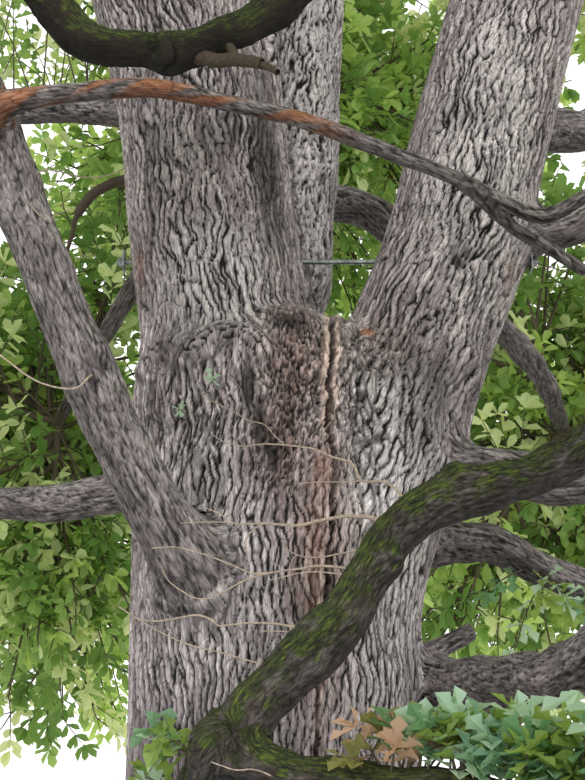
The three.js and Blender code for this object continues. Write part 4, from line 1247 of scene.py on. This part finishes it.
# Leaves in rosettes at places on the shoots, with the number of leaves at each
def rosettesOn(rng, shoots, places):
    sets = []
    count = len(shoots["root"])
    across = acrossTo(shoots["heading"])
    for place, number in places:
        spot = spotOn(shoots, np.full(count, place))
        spin = rng.uniform(0, 2 * math.pi, count)
        for k in range(number):
            angle = spin + k * 2 * math.pi / number + rng.uniform(-0.4, 0.4, count)
            side = turned(across, shoots["heading"], angle)
            opening = rng.uniform(0.55, 1.25, (count, 1))
            heading = shoots["heading"] * np.cos(opening) + side * np.sin(opening)
            heading = unit(heading - up * rng.uniform(0, 0.35, (count, 1)))
            normal = unit(up + shoots["normal"] * 0.6 + rng.uniform(-0.75, 0.75, (count, 3)))
            normal = unit(normal - heading * (normal * heading).sum(1, keepdims=True))
            sets.append({"root": spot, "heading": heading, "normal": normal, "spray": shoots["spray"]})
    return {key: np.concatenate([s[key] for s in sets]) for key in sets[0]}


# Blades of a few faces in the leaf's own outline, and each face's share for its tint
def blades(rng, leaves, length, seed, shape):
    side = np.cross(leaves["heading"], leaves["normal"])
    outline, half = leafLook[shape]
    last = len(outline) - 1
    spots = list(outline) + [(-out, at) for out, at in outline[1:-1]]
    mirrored = [tuple(i if i in (0, last) else i + last for i in reversed(face)) for face in half]
    curl = rng.uniform(-0.1, 0.22, len(length))
    ways = []
    for out, at in spots:
        rise = leafLook["fold"] * abs(out) * 2 - curl * at * at
        across = side * out * leafLook["width"]
        ways.append(leaves["heading"] * at + across + leaves["normal"] * rise[:, None])
    points = np.stack([leaves["root"] + length[:, None] * way for way in ways], 1)
    triangles = np.array(list(half) + mirrored)
    faces = (np.arange(len(length))[:, None, None] * len(spots) + triangles[None]).reshape(-1, 3)
    tint = hashed(leaves["spray"].astype(float), float(seed), 7)
    return points.reshape(-1, 3), faces, np.repeat(tint, len(triangles))


def growLeaves(rng, mass, shoots):
    leaves = rosettesOn(rng, shoots, twigRule["rosettes"])
    kind = "low" if mass["key"] == "low" else "near" if mass["key"] in twigRule["fullness"] else "far"
    low, high = leafLook[kind]
    length = rng.uniform(low, high, len(leaves["root"]))
    tips = leaves["root"] + leaves["heading"] * length[:, None]
    keep = inSpace(mass, tips, 0) & inSolidBox(tips, 0.1) & (tips[:, 2] > 0.3)
    if mass["key"] != "low":
        keep &= ~beforeTrunk(tips)
    shape = "lobed" if kind == "low" else "simple"
    return blades(rng, picked(leaves, keep), length[keep], mass["seed"], shape)


# Leaf colours, dealt out by spray
leafTints = {
    "crown": ("#b4cc84", "#6f9050", "#d6e6b2", "#8fae6c"),
    # the low leaves' bluish grey tints: partly their own colour, partly painted sky reflection
    "low": ("#7b9d88", "#648a66", "#a3bcae", "#7f9650"),
    "dead": ("#a08375", "#7d6152", "#bb9c8c", "#7c7a4c"),
    "glow": (1.75, 1.65, 1.2), "translucency": 0.5, "roughness": 0.5,
}


# Oak leaf: soft sheen on a thin blade that lets light through, so the backlit crown glows green
def leafBlade(tree, tint):
    colour = toLinear(tint)
    glow = [min(1, c * k) for c, k in zip(colour[:3], leafTints["glow"])] + [1]
    shader = addNode(tree, "ShaderNodeBsdfPrincipled",
                     {"Base Color": colour, "Roughness": leafTints["roughness"], "IOR": 1.45})
    through = addNode(tree, "ShaderNodeBsdfTranslucent", {"Color": glow})
    return addNode(tree, "ShaderNodeMixShader",
                   {0: leafTints["translucency"], 1: shader.outputs[0], 2: through.outputs[0]})


# Young oak twig: smooth dark grey-brown
def twigBark(tree):
    return addNode(tree, "ShaderNodeBsdfPrincipled",
                   {"Base Color": toLinear("#5b5044"), "Roughness": 0.85, "IOR": 1.45})


twigLook = newMaterial("twig_bark", twigBark)
leafLooks = {kind: [newMaterial(f"oak_leaf_{kind}_{i + 1}", leafBlade, tint)
                    for i, tint in enumerate(leafTints[kind])] for kind in ("crown", "low", "dead")}


def leafObject(name, points, faces, tint, kind):
    slots = np.floor(tint * 4) % 4
    return meshObject(name, points, faces, leafLooks[kind], slots=slots, smooth=False)


# Twigs and leaves of the masses, each kind joined by tier and by every other mass
def addLeaves():
    boughs = {limb["leadsTo"]: limb for limb in limbs.values() if limb.get("leadsTo")}
    groups = {}
    for mass in masses:
        tier = mass["node"].split("_")[1]
        half = "a" if tier == "low" or mass["key"][1] % 2 else "b"
        groups.setdefault(tier + "_" + half, []).append(mass)
    total = 0
    for group, members in groups.items():
        grown = [growMass(mass, boughs[mass["key"]]) for mass in members]
        nodes = [mass["node"] for mass in members]
        points, quads = joined([wood for wood, _ in grown])
        dress(meshObject(f"twigs_{group}", points, quads, [twigLook]), "bark", *nodes)
        points, faces = joined([(p, f) for _, (p, f, _) in grown])
        tint = np.concatenate([t for _, (_, _, t) in grown])
        kind = "low" if group.startswith("low") else "crown"
        dress(leafObject(f"leaves_{group}", points, faces, tint, kind), "foliage", *nodes)
        total += len(faces) + 2 * len(quads)
        print("crown:", group, "leaf faces", len(faces), "twig faces", 2 * len(quads))
    print("crown triangles:", total)


addLeaves()


# Leafy shoots on boughs: limb, share of its length from and to, how many, lengths, way they lean, leaves
sprigs = (
    ("mossy_low_arm", 0.40, 1.0, 70, (0.06, 0.24), (0.3, -0.5, 1.0), "low"),
    ("mossy_low_arm", 0.62, 1.0, 46, (0.08, 0.26), (0.5, -1.0, 0.1), "low"),
    ("mossy_low_arm", 0.30, 0.55, 9, (0.08, 0.2), (0.0, -0.5, 1.0), "dead"),
    ("mossy_foot", 0.55, 1.0, 8, (0.08, 0.18), (-0.9, -0.2, 0.4), "low"),
    ("right_bough_middle", 0.18, 0.5, 12, (0.15, 0.35), (0.2, -0.4, -0.6), "low"),
    ("right_bough_lower", 0.3, 0.6, 9, (0.15, 0.3), (0.3, 0.1, 1.0), "low"),
    ("left_rear_bough", 0.1, 0.62, 96, (0.3, 1.0), (-0.2, 0.3, 1.0), "crown"),
    ("rear_left_bough", 0.25, 0.7, 26, (0.25, 0.6), (0.0, 0.4, -0.7), "crown"),
    ("right_side_bough", 0.25, 0.6, 14, (0.25, 0.6), (0.0, 0.4, 0.6), "crown"),
)
sprigRosettes = ((0.35, 2), (0.7, 3), (1.0, 5))
# Two small tufts on the trunk: place, heading, length
tufts = (((-0.36, -0.53, 3.955), (0.2, -1.0, 0.1), 0.1), ((-0.44, -0.50, 3.85), (-0.4, -1.0, 0.0), 0.08))


def sprigShoots(rng, limb, low, high, count, lengths, lean):
    arcs = rng.uniform(low, high, count) * limb["length"]
    heading = unit(np.array(lean) + rng.uniform(-0.6, 0.6, (count, 3)))
    normal = unit(up + rng.uniform(-0.4, 0.4, (count, 3)))
    normal = unit(normal - heading * (normal * heading).sum(1, keepdims=True))
    root = along(limb, arcs) + heading * along(limb, arcs, "radii")[:, None] * 0.8
    return {"root": root, "heading": heading, "normal": normal, "length": rng.uniform(*lengths, count),
            "arch": rng.uniform(0.0, 0.15, count), "spray": np.arange(count)}


def addLeafyShoots(rng, node, name, shoots, rosettes, size, kind):
    leaves = rosettesOn(rng, shoots, rosettes)
    length = rng.uniform(*leafLook[size], len(leaves["root"]))
    leafPiece = leafObject(f"{node}_{name}_leaves", *blades(rng, leaves, length, 61, "lobed"), kind)
    twigPiece = meshObject(f"{node}_{name}_shoots", *shootTubes(shoots, (0.005, 0.002), 4, 4), [twigLook])
    dress(leafPiece, "foliage", node)
    dress(twigPiece, "bark", node)


def addSprigs():
    rng = np.random.default_rng(5)
    for number, (node, low, high, count, lengths, lean, kind) in enumerate(sprigs, 1):
        shoots = sprigShoots(rng, limbs[node], low, high, count, lengths, lean)
        if kind == "crown":
            shoots = picked(shoots, ~beforeTrunk(tipsOf(shoots)))
        addLeafyShoots(rng, node, f"{kind}_{number}", shoots, sprigRosettes, "sprig", kind)
    root, heading, length = (np.array(values) for values in zip(*tufts))
    heading = unit(heading)
    shoots = {"root": root, "heading": heading, "normal": unit(np.cross(heading, [[1.0, 0, 0]])),
              "length": length, "arch": np.zeros(2), "spray": np.arange(2)}
    addLeafyShoots(rng, "trunk", "low", shoots, ((1.0, 5),), "bud", "low")
    print("sprigs:", sum(row[3] for row in sprigs))


addSprigs()


# Dead twigs and thin branches that the photo shows: what each grows from, radii in mm, route in mm
thinWood = {
    "mossy_arm": (
        ((6, 3), ((435, -1100, 3294), (353, -1050, 3392), (268, -1000, 3411), (238, -980, 3478),
                  (220, -970, 3497), (146, -950, 3528), (88, -920, 3566), (34, -900, 3581),
                  (-30, -880, 3596))),
        ((3, 1.6), ((-30, -880, 3596), (-113, -850, 3610), (-198, -830, 3608), (-282, -820, 3632),
                    (-332, -800, 3677))),
        ((2.4, 1.4), ((-30, -880, 3596), (-70, -850, 3643), (-110, -830, 3696), (-179, -800, 3728),
                      (-253, -780, 3778), (-357, -760, 3836))),
        ((2.6, 1.4), ((85, -920, 3574), (112, -950, 3618), (151, -980, 3658))),
        ((2.6, 1.5), ((264, -1000, 3411), (191, -980, 3413), (107, -960, 3419), (6, -940, 3417))),
        ((10, 5), ((343, -1100, 3213), (301, -1060, 3247), (239, -1000, 3271), (182, -970, 3276),
                   (114, -950, 3269), (29, -930, 3255), (-25, -900, 3263), (-107, -880, 3277))),
        ((4, 2), ((-107, -880, 3277), (-185, -860, 3278), (-233, -840, 3288), (-285, -820, 3330),
                  (-346, -800, 3360))),
        ((4, 2), ((-107, -880, 3277), (-158, -850, 3253), (-186, -830, 3214), (-182, -820, 3176))),
        ((3, 1.6), ((-233, -840, 3288), (-324, -820, 3297), (-442, -820, 3293))),
        ((5, 2), ((372, -1150, 3115), (290, -1080, 3121), (191, -1000, 3126), (112, -960, 3121),
                  (29, -950, 3127), (-29, -930, 3164))),
        ((6, 2), ((220, -1120, 3031), (159, -1050, 3060), (96, -1000, 3076), (21, -960, 3074),
                  (-86, -930, 3066), (-171, -900, 3049), (-217, -880, 3031), (-271, -860, 3004),
                  (-329, -850, 2983), (-376, -840, 2989), (-428, -820, 3021), (-485, -800, 3069),
                  (-514, -800, 3125))),
        ((4, 2), ((198, -1120, 3008), (140, -1050, 3037), (81, -1000, 3053), (28, -970, 3056),
                  (-21, -950, 3049), (-86, -930, 3038))),
        ((4, 2), ((-86, -930, 3066), (-155, -900, 3073), (-261, -860, 3126), (-359, -850, 3164),
                  (-457, -850, 3188), (-547, -850, 3184))),
        ((7, 3), ((86, -1120, 2799), (20, -1050, 2829), (-58, -1000, 2854), (-152, -970, 2864),
                  (-281, -930, 2861))),
        ((4, 2), ((86, -1120, 2785), (-13, -1040, 2816), (-118, -980, 2832))),
        ((4, 2), ((52, -1140, 2642), (-49, -1070, 2673), (-183, -1000, 2723), (-278, -960, 2757),
                  (-374, -930, 2785), (-471, -900, 2829), (-585, -880, 2895))),
        ((5, 2.4), ((-281, -930, 2861), (-310, -910, 2890), (-360, -885, 2912), (-430, -860, 2908),
                    (-511, -850, 2897), (-588, -850, 2905), (-670, -850, 2955))),
    ),
    "mossy_low_arm": (
        ((4, 2), ((-60, -1280, 2262), (-98, -1300, 2275), (-145, -1350, 2280), (-192, -1370, 2275),
                  (-277, -1380, 2301))),
    ),
    "left_bough": (
        ((4, 2), ((-1080, -1120, 4630), (-1022, -1100, 4694), (-973, -1000, 4747), (-916, -850, 4802),
                  (-845, -650, 4901), (-761, -450, 5050), (-736, -400, 5128))),
        ((3, 1.6), ((-1074, -1130, 4548), (-982, -1150, 4454), (-931, -1130, 4490), (-876, -1100, 4532))),
        ((5, 2.5), ((-798, -1000, 3843), (-851, -1000, 3792), (-978, -1000, 3809), (-1055, -1000, 3851),
                    (-1158, -1000, 3931), (-1400, -1020, 4080))),
    ),
    "left_stem": (
        ((30, 24), ((-640, 120, 5450), (-831, 350, 5415), (-954, 380, 5380), (-1035, 400, 5322),
                    (-1085, 420, 5248))),
        ((15, 9), ((-1035, 400, 5322), (-1090, 420, 5240), (-1117, 440, 5124), (-1135, 450, 5051))),
    ),
    "hanging_bough_inner": (
        ((36, 24), ((-420, -1000, 5300), (-328, -1020, 5262), (-220, -1060, 5237), (-127, -1100, 5194))),
        ((22, 14), ((-220, -1060, 5237), (-127, -1100, 5190), (-60, -1140, 5131))),
    ),
}


thinWoodLook = {"fleck": 11.11, "darkest": 0.6, "lightest": 1.3, "roughness": 0.85}  # fleck in mm


# Dead twig or rough branch: weathered wood in one colour, lighter and darker in flecks
def weatheredWood(tree, colour):
    place = addNode(tree, "ShaderNodeTexCoord", {}).outputs["Object"]
    noise = addNode(tree, "ShaderNodeTexNoise",
                    {"Scale": 1000 / thinWoodLook["fleck"], "Detail": 3.0, "Vector": place}).outputs["Fac"]
    flecks = addNode(tree, "ShaderNodeMapRange", {
        "Value": noise, "From Min": 0.3, "From Max": 0.7,
        "To Min": thinWoodLook["darkest"], "To Max": thinWoodLook["lightest"]}).outputs[0]
    toned = addNode(tree, "ShaderNodeVectorMath",
                    {"operation": "SCALE", 0: toLinear(colour)[:3], "Scale": flecks}).outputs[0]
    return addNode(tree, "ShaderNodeBsdfPrincipled",
                   {"Roughness": thinWoodLook["roughness"], "IOR": 1.45, "Base Color": toned})


# Thin wood by thickness: the ending of the piece's name, its finish, sides round it
thinWoodKinds = {  # the twigs are pale, so they stand out against the bark
    "twigs": (newMaterial("weathered_twig", weatheredWood, "#a39286"), 6),
    "branch": (newMaterial("rough_branch", weatheredWood, "#453a30"), 12),
}
branchRadius = 12  # mm: from here on it is a branch


# The route in metres, with its root led to the limb's middle where that is near
def routeFrom(parent, route):
    points = [np.array(place) * mm for place in route]
    near = parent["line"][np.argmin(np.linalg.norm(parent["line"] - points[0], axis=1))]
    return [near] + points if np.linalg.norm(near - points[0]) < 0.2 else points


def addThinWood():
    for node, routes in thinWood.items():
        for kind, (look, sides) in thinWoodKinds.items():
            parts = []
            for radii, route in routes:
                if (radii[0] > branchRadius) == (kind == "branch"):
                    points = routeFrom(limbs[node], route)
                    twig = makeLimb("twig", points, np.array(radii) * mm, collar=0)
                    parts.append(limbTube(twig, sides, 8 * len(points), 0.18))
            if parts:
                dress(meshObject(f"{node}_{kind}", *joined(parts), [look]), "bark", node)
    print("thin wood:", sum(len(routes) for routes in thinWood.values()), "twigs and branches")


addThinWood()


zincLook = {"light": "#9a9da1", "dark": "#696c70", "blotch": 22.22, "roughness": (0.35, 0.6)}  # blotch in mm


# Weathered zinc-coated steel: dull light grey, with brighter and darker blotches
def weatheredZinc(tree):
    place = addNode(tree, "ShaderNodeTexCoord", {}).outputs["Object"]
    noise = addNode(tree, "ShaderNodeTexNoise",
                    {"Scale": 1000 / zincLook["blotch"], "Detail": 4.0, "Vector": place}).outputs["Fac"]
    smoothest, dullest = zincLook["roughness"]
    darkness = addNode(tree, "ShaderNodeMapRange", {
        "Value": noise, "From Min": 0.4, "From Max": 0.65, "To Min": 0.0, "To Max": 1.0}).outputs[0]
    dullness = addNode(tree, "ShaderNodeMapRange", {
        "Value": noise, "From Min": 0.3, "From Max": 0.7, "To Min": smoothest, "To Max": dullest}).outputs[0]
    tone = addNode(tree, "ShaderNodeMix", {
        "data_type": "RGBA", 0: darkness, 6: toLinear(zincLook["light"]),
        7: toLinear(zincLook["dark"])}).outputs[2]
    return addNode(tree, "ShaderNodeBsdfPrincipled",
                   {"Metallic": 1.0, "Base Color": tone, "Roughness": dullness})


brace = {
    "height": 4.79, "radius": 0.012, "ends": (-0.83, 1.165), "plates": (-0.795, 1.125), "edge": 0.0012,
    "plateSide": 0.09, "plateThickness": 0.008, "nutRadius": 0.024, "nutLength": 0.022,
}


# The rod through the two big stems, with a plate and a nut at each end
def addBrace():
    shape = bmesh.new()
    across = Matrix.Rotation(math.pi / 2, 4, "Y")

    def bar(radius, low, high, sides):
        place = Matrix.Translation(((low + high) / 2, 0, brace["height"])) @ across
        bmesh.ops.create_cone(shape, cap_ends=True, segments=sides, radius1=radius, radius2=radius,
                              depth=high - low, matrix=place)

    bar(brace["radius"], *brace["ends"], 20)
    plate = Matrix.Diagonal((brace["plateThickness"], brace["plateSide"], brace["plateSide"], 1))
    for place, way in zip(brace["plates"], (-1, 1)):
        bmesh.ops.create_cube(shape, size=1, matrix=Matrix.Translation((place, 0, brace["height"])) @ plate)
        face = place + way * brace["plateThickness"] / 2
        bar(brace["nutRadius"], *sorted((face, face + way * brace["nutLength"])), 6)
    sharp = [edge for edge in shape.edges if edge.calc_face_angle(0) > 0.6]
    bmesh.ops.bevel(shape, geom=sharp, offset=brace["edge"], segments=2, affect="EDGES")
    mesh = bpy.data.meshes.new("brace_rod_steel")
    shape.to_mesh(mesh)
    shape.free()
    mesh.materials.append(newMaterial("weathered_zinc_steel", weatheredZinc))
    piece = bpy.data.objects.new("brace_rod_steel", mesh)
    bpy.context.collection.objects.link(piece)
    dress(piece, "steel", "brace_rod")
    print("brace rod: faces", len(mesh.polygons))


addBrace()


stage = {"half": 40, "floor": "#d8d6d2", "sky": 1.5}
# Lights: place, what each is turned to, size, power, spread in degrees (kept off the floor)
lights = {
    "front_light": ((6.96, -16.2, 8.92), (0.3, 0, 4.6), 9, 380, 50),
    "side_light": ((-6, -7, 4), (0, 0, 4), 4, 55, 75),
}


# Matt pale floor: a light, even ground
def paleFloor(tree):
    return addNode(tree, "ShaderNodeBsdfPrincipled",
                   {"Base Color": toLinear(stage["floor"]), "Roughness": 0.9})


def addFloor():
    corners = np.array([(x, y, 0.0) for x, y in ((-1, -1), (1, -1), (1, 1), (-1, 1))]) * stage["half"]
    look = newMaterial("pale_floor", paleFloor)
    meshObject("floor", corners, np.array([[0, 1, 2, 3]]), [look])


def addSky():
    world = bpy.data.worlds.new("white_sky")
    world.use_nodes = True
    background = world.node_tree.nodes["Background"].inputs
    background["Color"].default_value = (1, 1, 1, 1)
    background["Strength"].default_value = stage["sky"]
    bpy.context.scene.world = world


def addLights():
    for name, (place, aim, size, power, spread) in lights.items():
        light = bpy.data.lights.new(name, "AREA")
        light.size = size
        light.spread = math.radians(spread)
        light.energy = power
        lamp = bpy.data.objects.new(name, light)
        lamp.location = place
        lamp.rotation_euler = (Vector(aim) - Vector(place)).to_track_quat("-Z", "Y").to_euler()
        bpy.context.collection.objects.link(lamp)


def addCamera():
    lens = bpy.data.cameras.new("camera")
    lens.lens = viewpoint["lens"]
    lens.sensor_width = viewpoint["sensor"]
    camera = bpy.data.objects.new("camera", lens)
    camera.location = viewpoint["place"]
    camera.rotation_euler = (math.radians(90 + viewpoint["upwards"]), 0, 0)
    bpy.context.collection.objects.link(camera)
    bpy.context.scene.camera = camera


addFloor()
addSky()
addLights()
addCamera()
bpy.context.scene.view_settings.view_transform = "Standard"
print("stage: floor, sky, camera and", len(lights), "lights")
